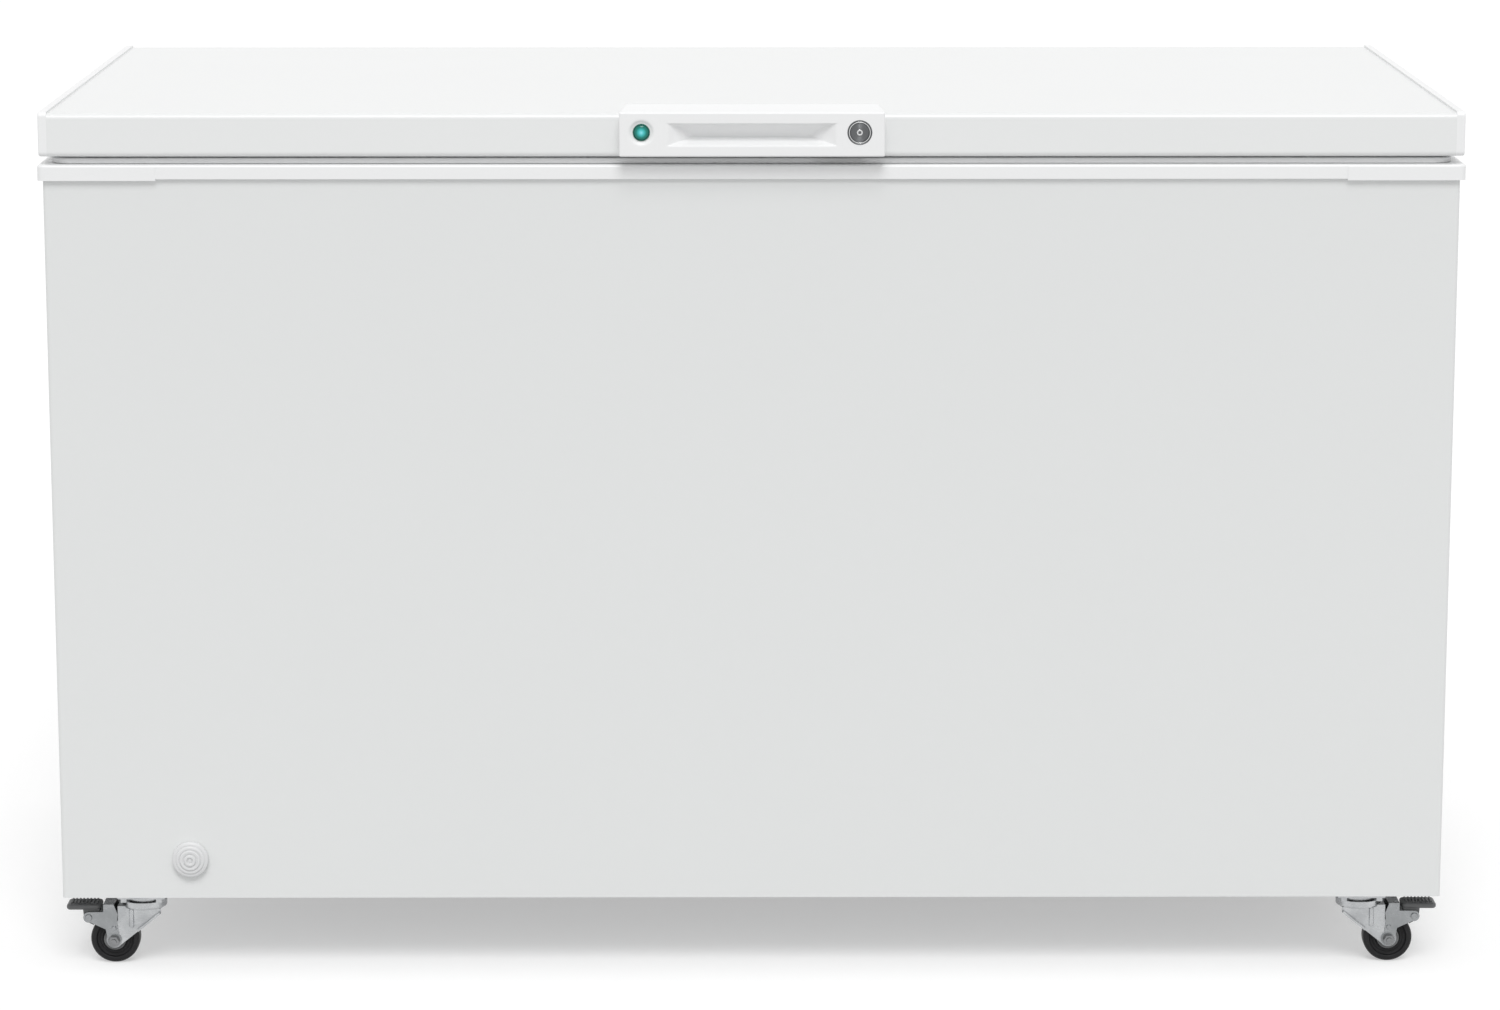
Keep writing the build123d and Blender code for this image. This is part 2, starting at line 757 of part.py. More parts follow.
HOOK_FLOOR = FACE_Z - CAM_REACH
POCKET_LEFT = LOCK_X - CAM_REACH - HOOK_CLEAR
POCKET_RIGHT = LOCK_X + CAM_HOOK + POCKET_SIDE
POCKET_BACK = LID_FRONT + CAM_DEPTH + CAM_T + POCKET_BEHIND
KEEPER_LEFT = POCKET_LEFT + KEEPER_INSET
KEEPER_RIGHT = LOCK_X + CAM_HOOK + KEEPER_MARGIN

# Foam that fills the cabinet between the wrapper and the liner, with the machine bay left open
# and a hollow under the front rim, where the hook swings in
with BuildPart() as insulation:
    with BuildSketch(Plane.XY.offset(FLOOR_TOP)) as fill:
        with Locations((0, Y_MID)):
            Rectangle(BODY_WIDTH - 2 * SHEET, BODY_DEPTH - 2 * SHEET)
        fillet(fill.vertices().group_by(Axis.Y)[0], SHELL_CORNER - SHEET)
    extrude(amount=SHELL_TOP - FLOOR_TOP)
    add(tub_outside, mode=Mode.SUBTRACT)
    block(
        (BAY_X, Y_FRONT + SHEET, FLOOR_TOP),
        (X_SIDE - SHEET, Y_BACK - SHEET, BAY_TOP),
        Mode.SUBTRACT,
    )
    add(drain_outside, mode=Mode.SUBTRACT)
    with BuildSketch(Plane.XZ.offset(-Y_FRONT - SHEET)):
        with Locations((DRAIN_X, DRAIN_Z)):
            Circle(COLLAR_BODY_R)
    extrude(amount=-(COLLAR_LENGTH - SHEET), mode=Mode.SUBTRACT)
    add(evaporator_coil, mode=Mode.SUBTRACT)
    add(condenser_coil, mode=Mode.SUBTRACT)
    block(
        (SHEET - X_SIDE, Y_FRONT + SHEET, HOOK_FLOOR - HOOK_CLEAR),
        (X_SIDE - SHEET, TUB_FRONT - LINER_T, SHELL_TOP),
        Mode.SUBTRACT,
    )
write(insulation.part, "insulation")

with BuildPart() as lock_keeper:
    block(
        (KEEPER_LEFT, Y_FRONT + SHEET, SHELL_TOP - KEEPER_T),
        (KEEPER_RIGHT, POCKET_BACK, SHELL_TOP),
    )
    hook_slot(SHELL_TOP - KEEPER_T, SHELL_TOP)
write(lock_keeper.part, "lock_keeper")


# Rim moulding: straight strips between four corner pieces, hooked over the wrapper and the liner
def rim_ring(proud, drop):
    """The rim all round, with its outer lip thickened and lowered for the corner pieces."""
    with BuildPart() as ring:
        with BuildSketch(Plane.XY.offset(RIM_TOP)):
            with Locations((0, Y_MID)):
                RectangleRounded(
                    BODY_WIDTH + 2 * (RIM_OVERHANG + proud),
                    BODY_DEPTH + 2 * (RIM_OVERHANG + proud),
                    RIM_CORNER + proud,
                )
                Rectangle(BODY_WIDTH, BODY_DEPTH, mode=Mode.SUBTRACT)
        extrude(amount=-(RIM_LIP + drop))
        fillet(ring.faces().sort_by(Axis.Z)[-1].outer_wire().edges(), RIM_ROUND)
        with BuildSketch(Plane.XY.offset(RIM_TOP)):
            with Locations((0, Y_MID)):
                Rectangle(BODY_WIDTH, BODY_DEPTH)
                RectangleRounded(2 * TUB_X, TUB_DEPTH, TUB_EDGE, mode=Mode.SUBTRACT)
        extrude(amount=-RIM_T)
        with BuildSketch(Plane.XY.offset(RIM_TOP)):
            with Locations((0, Y_MID)):
                RectangleRounded(2 * TUB_X, TUB_DEPTH, TUB_EDGE)
                RectangleRounded(
                    2 * (TUB_X - RIM_INNER_T),
                    TUB_DEPTH - 2 * RIM_INNER_T,
                    TUB_EDGE - RIM_INNER_T,
                    mode=Mode.SUBTRACT,
                )
        extrude(amount=-RIM_INNER_LIP)
    return ring.part


STRIP_X = LID_X - CORNER_REACH
STRIP_Y = LID_DEPTH / 2 - CORNER_REACH
RIM_CLEAR = RIM_OVERHANG + CORNER_PROUD + 1
LEDGE_Z = RIM_TOP - RIM_INNER_LIP + LEDGE_T

with BuildPart() as rim_corners:
    add(rim_ring(CORNER_PROUD, CORNER_DROP))
    block(
        (-STRIP_X, Y_FRONT - RIM_CLEAR, RIM_TOP - 2 * RIM_INNER_LIP),
        (STRIP_X, Y_BACK + RIM_CLEAR, RIM_TOP + 1),
        Mode.SUBTRACT,
    )
    block(
        (-X_SIDE - RIM_CLEAR, Y_MID - STRIP_Y, RIM_TOP - 2 * RIM_INNER_LIP),
        (X_SIDE + RIM_CLEAR, Y_MID + STRIP_Y, RIM_TOP + 1),
        Mode.SUBTRACT,
    )
write(rim_corners.part, "rim_corners")

with BuildPart() as rim_strips:
    add(rim_ring(0, 0))
    for side in (-1, 1):
        for end in (-1, 1):
            near_x, far_x = sorted((side * STRIP_X, side * 2 * STRIP_X))
            near_y, far_y = sorted((end * STRIP_Y, end * 3 * STRIP_Y))
            block(
                (near_x, Y_MID + near_y, 0),
                (far_x, Y_MID + far_y, 2 * RIM_TOP),
                Mode.SUBTRACT,
            )
    for end, wall in ((1, TUB_FRONT), (-1, TUB_BACK)):
        ledge_root = wall + end * RIM_INNER_T
        ledge_tip = ledge_root + end * LEDGE_REACH
        block(
            (-STRIP_X, min(ledge_root, ledge_tip), LEDGE_Z - LEDGE_T),
            (STRIP_X, max(ledge_root, ledge_tip), LEDGE_Z),
        )
    hook_slot(SHELL_TOP, RIM_TOP)
write(rim_strips.part, "rim_strips")


# Lid
def lid_section(inset):
    """The lid's front-to-back section, drawn in by an inset."""
    with Locations((Y_MID, (LID_Z0 + LID_Z1) / 2)):
        RectangleRounded(LID_DEPTH - 2 * inset, LID_HEIGHT - 2 * inset, LID_EDGE - inset)


def lid_plug(inset, top_z):
    """The tapered bulge of the lid's inner panel, drawn in by an inset."""
    with BuildPart() as bulge:
        with BuildSketch(Plane.XY.offset(top_z)):
            with Locations((0, Y_MID)):
                RectangleRounded(
                    2 * (TUB_X - RIM_INNER_T - PLUG_GAP - inset),
                    TUB_DEPTH - 2 * (RIM_INNER_T + PLUG_GAP + inset),
                    TUB_EDGE - inset,
                )
        extrude(amount=-PLUG_DEPTH, taper=PLUG_TAPER)
    return bulge.part


plug_outside = lid_plug(0, LID_Z0)
plug_inside = lid_plug(SHEET, LID_Z0 + SHEET)
INNER_FRONT = LID_FRONT + LID_RETURN
INNER_BACK = LID_BACK - LID_RETURN

with BuildPart() as lid_panel:
    with BuildSketch(Plane.YZ):
        lid_section(0)
        with BuildSketch(mode=Mode.SUBTRACT):
            lid_section(SHEET)
        with Locations((Y_MID, LID_Z0)):
            Rectangle(LID_DEPTH - 2 * LID_RETURN, 2 * SHEET, mode=Mode.SUBTRACT)
    extrude(amount=PANEL_X, both=True)
    hook_slot(LID_Z0, LID_Z0 + LID_EDGE)
    with BuildSketch(Plane.XZ.offset(-LID_FRONT)):
        with Locations((LOCK_X, FACE_Z)):
            Circle(LOCK_STUB_R + 1)
    extrude(amount=-SHEET, mode=Mode.SUBTRACT)
write(lid_panel.part, "lid_panel")


def end_cap(side):
    """One plastic end of the lid, with a flange that plugs into the painted panel."""
    with BuildPart() as cap:
        with BuildSketch(Plane.YZ.offset(side * PANEL_X)):
            with Locations((Y_MID, (LID_Z0 + LID_Z1 + CAP_RISE) / 2)):
                RectangleRounded(LID_DEPTH, LID_HEIGHT + CAP_RISE, LID_EDGE)
        extrude(amount=side * CAP_WIDTH)
        outer_face = cap.faces().sort_by(Axis.X)[-1 if side > 0 else 0]
        fillet(outer_face.edges(), CAP_ROUND)
        with BuildSketch(Plane.YZ.offset(side * PANEL_X)):
            lid_section(SHEET)
            with BuildSketch(mode=Mode.SUBTRACT):
                lid_section(SHEET + CAP_FLANGE_T)
        extrude(amount=-side * CAP_FLANGE)
    return cap.part


end_caps = Compound(children=[end_cap(-1), end_cap(1)])
write(end_caps, "lid_end_caps")

with BuildPart() as lid_insulation:
    with BuildSketch(Plane.YZ):
        lid_section(SHEET)
    extrude(amount=PANEL_X - CAP_FLANGE, both=True)
    with BuildSketch(Plane.YZ):
        lid_section(SHEET + CAP_FLANGE_T)
    extrude(amount=PANEL_X, both=True)
    add(plug_inside)
    block(
        (POCKET_LEFT, LID_FRONT, LID_Z0),
        (POCKET_RIGHT, POCKET_BACK, FACE_Z + LOCK_STUB_R + CAM_HOOK),
        Mode.SUBTRACT,
    )
write(lid_insulation.part, "lid_insulation")

with BuildPart() as lid_liner:
    block(
        (-PANEL_X, INNER_FRONT, LID_Z0),
        (PANEL_X, INNER_BACK, LID_Z0 + SHEET),
    )
    add(plug_outside)
    add(plug_inside, mode=Mode.SUBTRACT)
write(lid_liner.part, "lid_liner")

with BuildPart() as lid_gasket:
    seal_low = RIM_TOP + SEAL_SQUEEZE
    neck_low = seal_low + SEAL_BULB
    neck_high = LID_Z0 - SEAL_BASE
    layers = (
        (seal_low, neck_low, 0),
        (neck_low, neck_high, SEAL_NECK),
        (neck_high, LID_Z0, 0),
    )
    for low, high, inset in layers:
        with BuildSketch(Plane.XY.offset(low)):
            with Locations((0, Y_MID)):
                RectangleRounded(
                    2 * (LID_X - SEAL_INSET - inset),
                    LID_DEPTH - 2 * (SEAL_INSET + inset),
                    SEAL_CORNER - inset,
                )
                RectangleRounded(
                    2 * (LID_X - SEAL_INSET - SEAL_WIDTH + inset),
                    LID_DEPTH - 2 * (SEAL_INSET + SEAL_WIDTH - inset),
                    SEAL_CORNER - SEAL_WIDTH / 2 + inset,
                    mode=Mode.SUBTRACT,
                )
        extrude(amount=high - low)
write(lid_gasket.part, "lid_gasket")

# Handle moulding: a block over the lid's front edge, with a hipped finger recess
with BuildPart() as handle:
    with BuildSketch(Plane.YZ):
        with BuildLine():
            Polyline(
                (HANDLE_FACE, LID_Z0 + HANDLE_LIFT),
                (HANDLE_FACE, LID_Z1 + HANDLE_BROW),
                (HANDLE_BACK, LID_Z1 + HANDLE_CREST),
                (HANDLE_BACK, LID_Z1),
                (LID_FRONT, LID_Z1),
                (LID_FRONT, LID_Z0 + HANDLE_LIFT),
                close=True,
            )
        make_face()
    extrude(amount=HANDLE_WIDTH / 2, both=True)
    fillet(handle.faces().sort_by(Axis.Y)[0].edges(), HANDLE_ROUND)
    for side in (-1, 1):
        with BuildSketch(Plane.XY.offset(LID_Z1)):
            with BuildLine():
                Polyline(
                    (side * HANDLE_WIDTH / 2, HANDLE_FACE + HANDLE_ROUND),
                    (side * HANDLE_WIDTH / 2, HANDLE_BACK),
                    (side * (HANDLE_WIDTH / 2 - HANDLE_TAPER), HANDLE_BACK),
                    close=True,
                )
            make_face()
        extrude(amount=2 * HANDLE_CREST, mode=Mode.SUBTRACT)
    recess_z = LID_Z0 + HANDLE_LIFT + RECESS_RISE
    with BuildSketch(Plane.XZ.offset(-HANDLE_FACE)):
        with Locations((0, recess_z)):
            Rectangle(RECESS_WIDTH, RECESS_HEIGHT)
    with BuildSketch(Plane.XZ.offset(-HANDLE_FACE - RECESS_DEPTH)):
        with Locations((0, recess_z - RECESS_RIDGE_DROP)):
            Rectangle(RECESS_RIDGE, RECESS_RIDGE_T)
    loft(ruled=True, mode=Mode.SUBTRACT)
    with BuildSketch(Plane.XZ.offset(-HANDLE_FACE)):
        with Locations((LENS_X, FACE_Z)):
            Circle(LENS_DISH_R)
    with BuildSketch(Plane.XZ.offset(-HANDLE_FACE - LENS_DISH)):
        with Locations((LENS_X, FACE_Z)):
            Circle(LENS_R + RUNNING_FIT)
    loft(ruled=True, mode=Mode.SUBTRACT)
    with BuildSketch(Plane.XZ.offset(-HANDLE_FACE)):
        with Locations((LENS_X, FACE_Z)):
            Circle(LENS_R + RUNNING_FIT)
    extrude(amount=-LENS_LENGTH - 1, mode=Mode.SUBTRACT)
    with BuildSketch(Plane.XZ.offset(-HANDLE_FACE)):
        with Locations((LOCK_X, FACE_Z)):
            Circle(LOCK_RECESS_R)
    extrude(amount=-LOCK_RECESS, mode=Mode.SUBTRACT)
    with BuildSketch(Plane.XZ.offset(-HANDLE_FACE)):
        with Locations((LOCK_X, FACE_Z)):
            Circle(LOCK_SLEEVE_R + RUNNING_FIT)
    extrude(amount=-HANDLE_PROUD, mode=Mode.SUBTRACT)
write(handle.part, "handle")

with BuildPart() as indicator_lens:
    dome_r = (LENS_R**2 + LENS_DOME**2) / (2 * LENS_DOME)
    apex = -LOCK_PROUD
    half_way = math.asin(LENS_R / dome_r) / 2
    dome_mid = (dome_r * math.sin(half_way), apex + dome_r * (1 - math.cos(half_way)))
    with BuildSketch(Plane((LENS_X, HANDLE_FACE, FACE_Z))):
        with BuildLine():
            ThreePointArc((0, apex), dome_mid, (LENS_R, apex + LENS_DOME))
            Polyline((LENS_R, apex + LENS_DOME), (LENS_R, LENS_LENGTH), (0, LENS_LENGTH), (0, apex))
        make_face()
    revolve(axis=Axis((LENS_X, HANDLE_FACE, FACE_Z), (0, 1, 0)))
write(indicator_lens.part, "indicator_lens")

LOCK_CENTRE = (LOCK_X, HANDLE_FACE, FACE_Z)
lock_bezel = turned_along_y(
    LOCK_CENTRE,
    [
        (LOCK_BARREL_R + RUNNING_FIT, 0),
        (LOCK_BARREL_R + LOCK_LAND, -LOCK_PROUD),
        (LOCK_BEZEL_R - LOCK_LAND, -LOCK_PROUD),
        (LOCK_BEZEL_R, 0),
        (LOCK_BEZEL_R, LOCK_RECESS),
        (LOCK_SLEEVE_R, LOCK_RECESS),
        (LOCK_SLEEVE_R, HANDLE_PROUD),
        (LOCK_BARREL_R + RUNNING_FIT, HANDLE_PROUD),
    ],
)
write(lock_bezel, "lock_bezel")

CAM_Y = HANDLE_PROUD + CAM_DEPTH
with BuildPart() as lock_barrel:
    add(
        turned_along_y(
            LOCK_CENTRE,
            [
                (0, LOCK_FACE_IN),
                (LOCK_BARREL_R - LOCK_FACE_BEVEL, LOCK_FACE_IN),
                (LOCK_BARREL_R, LOCK_FACE_BEVEL),
                (LOCK_BARREL_R, HANDLE_PROUD - LOCK_TAIL),
                (LOCK_STUB_R, HANDLE_PROUD - LOCK_TAIL),
                (LOCK_STUB_R, CAM_Y),
                (LOCK_STUB_R - LOCK_TIP_STEP, CAM_Y),
                (LOCK_STUB_R - LOCK_TIP_STEP, CAM_Y + CAM_T + LOCK_TIP),
                (0, CAM_Y + CAM_T + LOCK_TIP),
            ],
        )
    )
    with BuildSketch(Plane.XZ.offset(-HANDLE_FACE)):
        with Locations((LOCK_X, FACE_Z)):
            Rectangle(KEY_SLOT_WIDTH, KEY_SLOT_LENGTH)
    extrude(amount=-HANDLE_PROUD / 2, mode=Mode.SUBTRACT)
write(lock_barrel.part, "lock_barrel")

with BuildPart() as lock_cam:
    with BuildSketch(Plane.XZ.offset(-HANDLE_FACE - CAM_Y)):
        with Locations((LOCK_X, FACE_Z)):
            Circle(LOCK_STUB_R)
            with Locations((-CAM_REACH / 2, 0)):
                Rectangle(CAM_REACH, CAM_WIDTH)
            with Locations((-CAM_REACH + CAM_HOOK_T / 2, -CAM_HOOK / 2)):
                Rectangle(CAM_HOOK_T, CAM_HOOK)
            Circle(LOCK_STUB_R - 2 + RUNNING_FIT, mode=Mode.SUBTRACT)
    extrude(amount=-CAM_T)
write(lock_cam.part, "lock_cam")


# Spring hinges at the back
BASE_CHEEK_IN = HINGE_BASE_SPAN / 2 - HINGE_PLATE_T
LEAF_CHEEK_OUT = BASE_CHEEK_IN - HINGE_SIDE_GAP
LEAF_CHEEK_IN = LEAF_CHEEK_OUT - HINGE_PLATE_T
HINGE_BASE_TOP = RIM_TOP - RIM_LIP - CORNER_DROP - 1


def cheek(plane, corners, bore, thickness):
    """A hinge cheek: a plate drawn from a mounting edge to the knuckle round the pin."""
    with BuildPart() as plate:
        with BuildSketch(plane):
            with BuildLine():
                Polyline(*corners, close=True)
            make_face()
            with Locations((PIN_Y, PIN_Z)):
                Circle(KNUCKLE_R)
            make_hull()
            with Locations((PIN_Y, PIN_Z)):
                Circle(bore, mode=Mode.SUBTRACT)
        extrude(amount=thickness)
    return plate.part


def hinge_base(x):
    """The hinge half on the back panel, with two cheeks that hold the pin."""
    with BuildPart() as base:
        block(
            (x - HINGE_PLATE_WIDTH / 2, Y_BACK, HINGE_BASE_TOP - HINGE_BASE_HEIGHT),
            (x + HINGE_PLATE_WIDTH / 2, Y_BACK + HINGE_PLATE_T, HINGE_BASE_TOP),
        )
        fillet(base.edges().filter_by(Axis.Y), SHELL_CORNER)
        shoulder = HINGE_BASE_TOP - HINGE_SHOULDER
        corners = [
            (Y_BACK, shoulder - HINGE_CHEEK),
            (Y_BACK + HINGE_PLATE_T, shoulder - HINGE_CHEEK),
            (Y_BACK + HINGE_PLATE_T, shoulder),
            (Y_BACK, shoulder),
        ]
        for inner in (x - BASE_CHEEK_IN - HINGE_PLATE_T, x + BASE_CHEEK_IN):
            add(cheek(Plane.YZ.offset(inner), corners, PIN_R + RUNNING_FIT, HINGE_PLATE_T))
    return base.part


def hinge_leaf(x):
    """The hinge half on the lid's back edge, with two cheeks that turn on the pin."""
    leaf_low = LID_Z0 + HANDLE_LIFT
    with BuildPart() as leaf:
        block(
            (x - HINGE_PLATE_WIDTH / 2, LID_BACK, leaf_low),
            (x + HINGE_PLATE_WIDTH / 2, LID_BACK + HINGE_PLATE_T, leaf_low + HINGE_LEAF_HEIGHT),
        )
        fillet(leaf.edges().filter_by(Axis.Y), SHELL_CORNER)
        corners = [
            (LID_BACK, leaf_low + LEAF_CHEEK_LOW),
            (LID_BACK + HINGE_PLATE_T, leaf_low + LEAF_CHEEK_LOW),
            (LID_BACK + HINGE_PLATE_T, leaf_low + HINGE_LEAF_HEIGHT - LEAF_CHEEK_HIGH),
            (LID_BACK, leaf_low + HINGE_LEAF_HEIGHT - LEAF_CHEEK_HIGH),
        ]
        for inner in (x - LEAF_CHEEK_OUT, x + LEAF_CHEEK_IN):
            add(cheek(Plane.YZ.offset(inner), corners, PIN_R + RUNNING_FIT, HINGE_PLATE_T))
    return leaf.part


def hinge_pin(x):
    """A headed pin through all four cheeks."""
    half = HINGE_BASE_SPAN / 2
    outline = [
        (0, -half - PIN_HEAD),
        (PIN_HEAD_R, -half - PIN_HEAD),
        (PIN_HEAD_R, -half),
        (PIN_R, -half),
        (PIN_R, half),
        (PIN_HEAD_R, half),
        (PIN_HEAD_R, half + PIN_HEAD),
        (0, half + PIN_HEAD),
    ]
    return turned_along_x((x, PIN_Y, PIN_Z), outline)


SPRING_R = PIN_R + SPRING_PIN_GAP + SPRING_WIRE_R
SPRING_SLOPE = SPRING_PITCH / (2 * math.pi * SPRING_R)
SPRING_FOOT = (
    Y_BACK + HINGE_PLATE_T + SPRING_WIRE_R - PIN_Y,
    HINGE_BASE_TOP - SPRING_TOE - PIN_Z,
)
SPRING_HEAD = (
    LID_BACK + HINGE_PLATE_T + SPRING_WIRE_R - PIN_Y,
    LID_Z0 + HANDLE_LIFT + SPRING_TOE - PIN_Z,
)


def coil_angle(end, sense):
    """The angle round the pin where the straight leg from an end point meets the coil."""
    y, z = end
    return math.atan2(z, y) - sense * math.acos(SPRING_R / math.hypot(y, z))


SPRING_START = coil_angle(SPRING_FOOT, 1)
SPRING_SWEEP = 2 * math.pi * SPRING_TURNS + (SPRING_START - coil_angle(SPRING_HEAD, -1)) % (2 * math.pi)


def spring_point(share):
    """A point of the coil about the pin, at a share of the way from the back plate's leg to the lid's."""
    angle = SPRING_START - share * SPRING_SWEEP
    return Vector(
        (0.5 - share) * SPRING_SWEEP * SPRING_R * SPRING_SLOPE,
        SPRING_R * math.cos(angle),
        SPRING_R * math.sin(angle),
    )


def spring_end(meeting, end, sense):
    """The far end of a leg, which carries on along the coil's slope from where it leaves the coil."""
    length = math.sqrt(math.hypot(*end) ** 2 - SPRING_R**2)
    return Vector(meeting.X + sense * length * SPRING_SLOPE, *end)


def spring_gap():
    """The least clear distance between neighbouring turns of the coil, on points along it."""
    turn = 24
    count = round(turn * SPRING_SWEEP / (2 * math.pi))
    points = [spring_point(step / count) for step in range(count + 1)]
    apart = [
        (points[first] - points[second]).length
        for first in range(len(points))
        for second in range(first + turn // 2, len(points))
    ]
    return min(apart) - 2 * SPRING_WIRE_R


def hinge_spring():
    """A torsion spring on the pin: one leg rests on the back plate, the other on the lid's leaf."""
    first = spring_point(0)
    last = spring_point(1)
    steps = SPRING_STEPS * (SPRING_TURNS + 1)
    with BuildLine() as wire:
        Line(spring_end(first, SPRING_FOOT, 1), first)
        for step in range(steps):
            TangentArc(wire.line @ 1, spring_point((step + 1) / steps), tangent=wire.line % 1)
        Line(wire.line @ 1, spring_end(last, SPRING_HEAD, -1))
    with BuildPart() as spring:
        with BuildSketch(Plane(wire.line @ 0, z_dir=wire.line % 0)):
            RegularPolygon(SPRING_WIRE_R, SPRING_WIRE_SIDES)
        sweep(path=wire.line)
    return spring.part


HINGE_PLACES = (-HINGE_X, HINGE_X)
write(Compound(children=[hinge_base(x) for x in HINGE_PLACES]), "hinge_bases")
write(Compound(children=[hinge_leaf(x) for x in HINGE_PLACES]), "hinge_leaves")
write(Compound(children=[hinge_pin(x) for x in HINGE_PLACES]), "hinge_pins")
print(f"least gap between the hinge springs' turns: {spring_gap():.2f} mm")
springs = [hinge_spring().moved(Location((x, PIN_Y, PIN_Z))) for x in HINGE_PLACES]
write(Compound(children=springs), "hinge_springs")

with BuildPart() as hinge_screws:
    screw_x = HINGE_PLATE_WIDTH / 2 - SCREW_INSET
    base_mid = HINGE_BASE_TOP - HINGE_BASE_HEIGHT / 2
    with BuildSketch(Plane.XZ.offset(-Y_BACK - HINGE_PLATE_T)):
        for x in HINGE_PLACES:
            with Locations((x, base_mid)):
                with GridLocations(2 * screw_x, HINGE_BASE_HEIGHT - 2 * SCREW_END, 2, 2):
                    Circle(SCREW_HEAD_R)
    extrude(amount=-SCREW_HEAD, taper=SCREW_TAPER)
write(hinge_screws.part, "hinge_screws")

# Machine bay: tray, compressor on rubber mounts, relay and filter drier
with BuildPart() as compressor_tray:
    block(
        (BAY_X + TRAY_CLEAR, COMPRESSOR_Y - TRAY_DEPTH / 2, FLOOR_TOP),
        (X_SIDE - SHEET - TRAY_CLEAR, COMPRESSOR_Y + TRAY_DEPTH / 2, TRAY_TOP),
    )
    for end in (-1, 1):
        flange_y = COMPRESSOR_Y + end * (TRAY_DEPTH - TRAY_T) / 2
        with Locations((COMPRESSOR_X, flange_y, FLOOR_TOP + TRAY_FLANGE / 2)):
            Box(BAY_WIDTH - 2 * TRAY_CLEAR, TRAY_T, TRAY_FLANGE)
write(compressor_tray.part, "compressor_tray")

FOOT_PLACES = [
    (COMPRESSOR_X + side * COMPRESSOR_FOOT_X, COMPRESSOR_Y + end * COMPRESSOR_FOOT_Y)
    for side in (-1, 1)
    for end in (-1, 1)
]
FOOT_Z = TRAY_TOP + MOUNT_HEIGHT
mount_outline = [
    (0, 0),
    (MOUNT_R, 0),
    (MOUNT_R, (MOUNT_HEIGHT - MOUNT_GROOVE) / 2),
    (MOUNT_WAIST_R, MOUNT_HEIGHT / 2),
    (MOUNT_R, (MOUNT_HEIGHT + MOUNT_GROOVE) / 2),
    (MOUNT_R, MOUNT_HEIGHT),
    (0, MOUNT_HEIGHT),
]
mounts = [turned_along_z((x, y, TRAY_TOP), mount_outline) for x, y in FOOT_PLACES]
write(Compound(children=mounts), "compressor_mounts")

with BuildPart() as compressor:
    with BuildSketch(Plane.XY.offset(FOOT_Z)):
        with Locations(*FOOT_PLACES):
            Circle(COMPRESSOR_FOOT_R)
        make_hull()
    extrude(amount=COMPRESSOR_FOOT_T)
    shell_mid = FOOT_Z + COMPRESSOR_HEIGHT / 2
    with Locations((COMPRESSOR_X, COMPRESSOR_Y, shell_mid)):
        Cylinder(COMPRESSOR_R, COMPRESSOR_HEIGHT)
    rims = compressor.edges().filter_by(GeomType.CIRCLE).filter_by(
        lambda edge: abs(edge.radius - COMPRESSOR_R) < 0.01
    )
    fillet(rims.sort_by(Axis.Z)[-1], COMPRESSOR_DOME)
    with Locations((COMPRESSOR_X, COMPRESSOR_Y, shell_mid)):
        Cylinder(COMPRESSOR_R + COMPRESSOR_SEAM, 2 * COMPRESSOR_SEAM)
    for angle, height, radius in COMPRESSOR_STUBS:
        turn = math.radians(angle)
        out = (math.cos(turn), math.sin(turn), 0)
        with BuildSketch(Plane((COMPRESSOR_X, COMPRESSOR_Y, shell_mid + height), z_dir=out)):
            Circle(radius)
        extrude(amount=COMPRESSOR_R + COMPRESSOR_STUB / 2)
write(compressor.part, "compressor")

with BuildPart() as start_relay:
    relay_y = COMPRESSOR_Y - COMPRESSOR_R + RELAY_SINK
    relay_z = shell_mid - COMPRESSOR_SEAM - RELAY_HEIGHT / 2
    with Locations((COMPRESSOR_X, relay_y - RELAY_DEPTH / 2, relay_z)):
        Box(RELAY_WIDTH, RELAY_DEPTH, RELAY_HEIGHT)
    front_edges = start_relay.faces().sort_by(Axis.Y)[0].edges()
    fillet(front_edges, SHELL_CORNER)
    add(compressor.part, mode=Mode.SUBTRACT)
write(start_relay.part, "start_relay")

filter_drier = turned_along_z(
    (BAY_X + DRIER_R, COMPRESSOR_Y - TRAY_DEPTH, FLOOR_TOP + BAY_HEIGHT / 3),
    [
        (0, -DRIER_NECK),
        (DRIER_NECK_R, -DRIER_NECK),
        (DRIER_NECK_R, 0),
        (DRIER_R, DRIER_R),
        (DRIER_R, DRIER_LENGTH - DRIER_R),
        (DRIER_NECK_R, DRIER_LENGTH),
        (DRIER_NECK_R, DRIER_LENGTH + DRIER_NECK),
        (0, DRIER_LENGTH + DRIER_NECK),
    ],
)
write(filter_drier, "filter_drier")

# Ventilation grille on the right side, with the thermostat dial in a round well
SLOTS_Y = GRILLE_Y + DIAL_PANEL / 2
DIAL_Y = GRILLE_Y - GRILLE_WIDTH / 2 + GRILLE_FLANGE + DIAL_PANEL / 2
GRILLE_BACK = X_SIDE - GRILLE_DEPTH
WELL_FLOOR = X_SIDE + GRILLE_T - DIAL_WELL

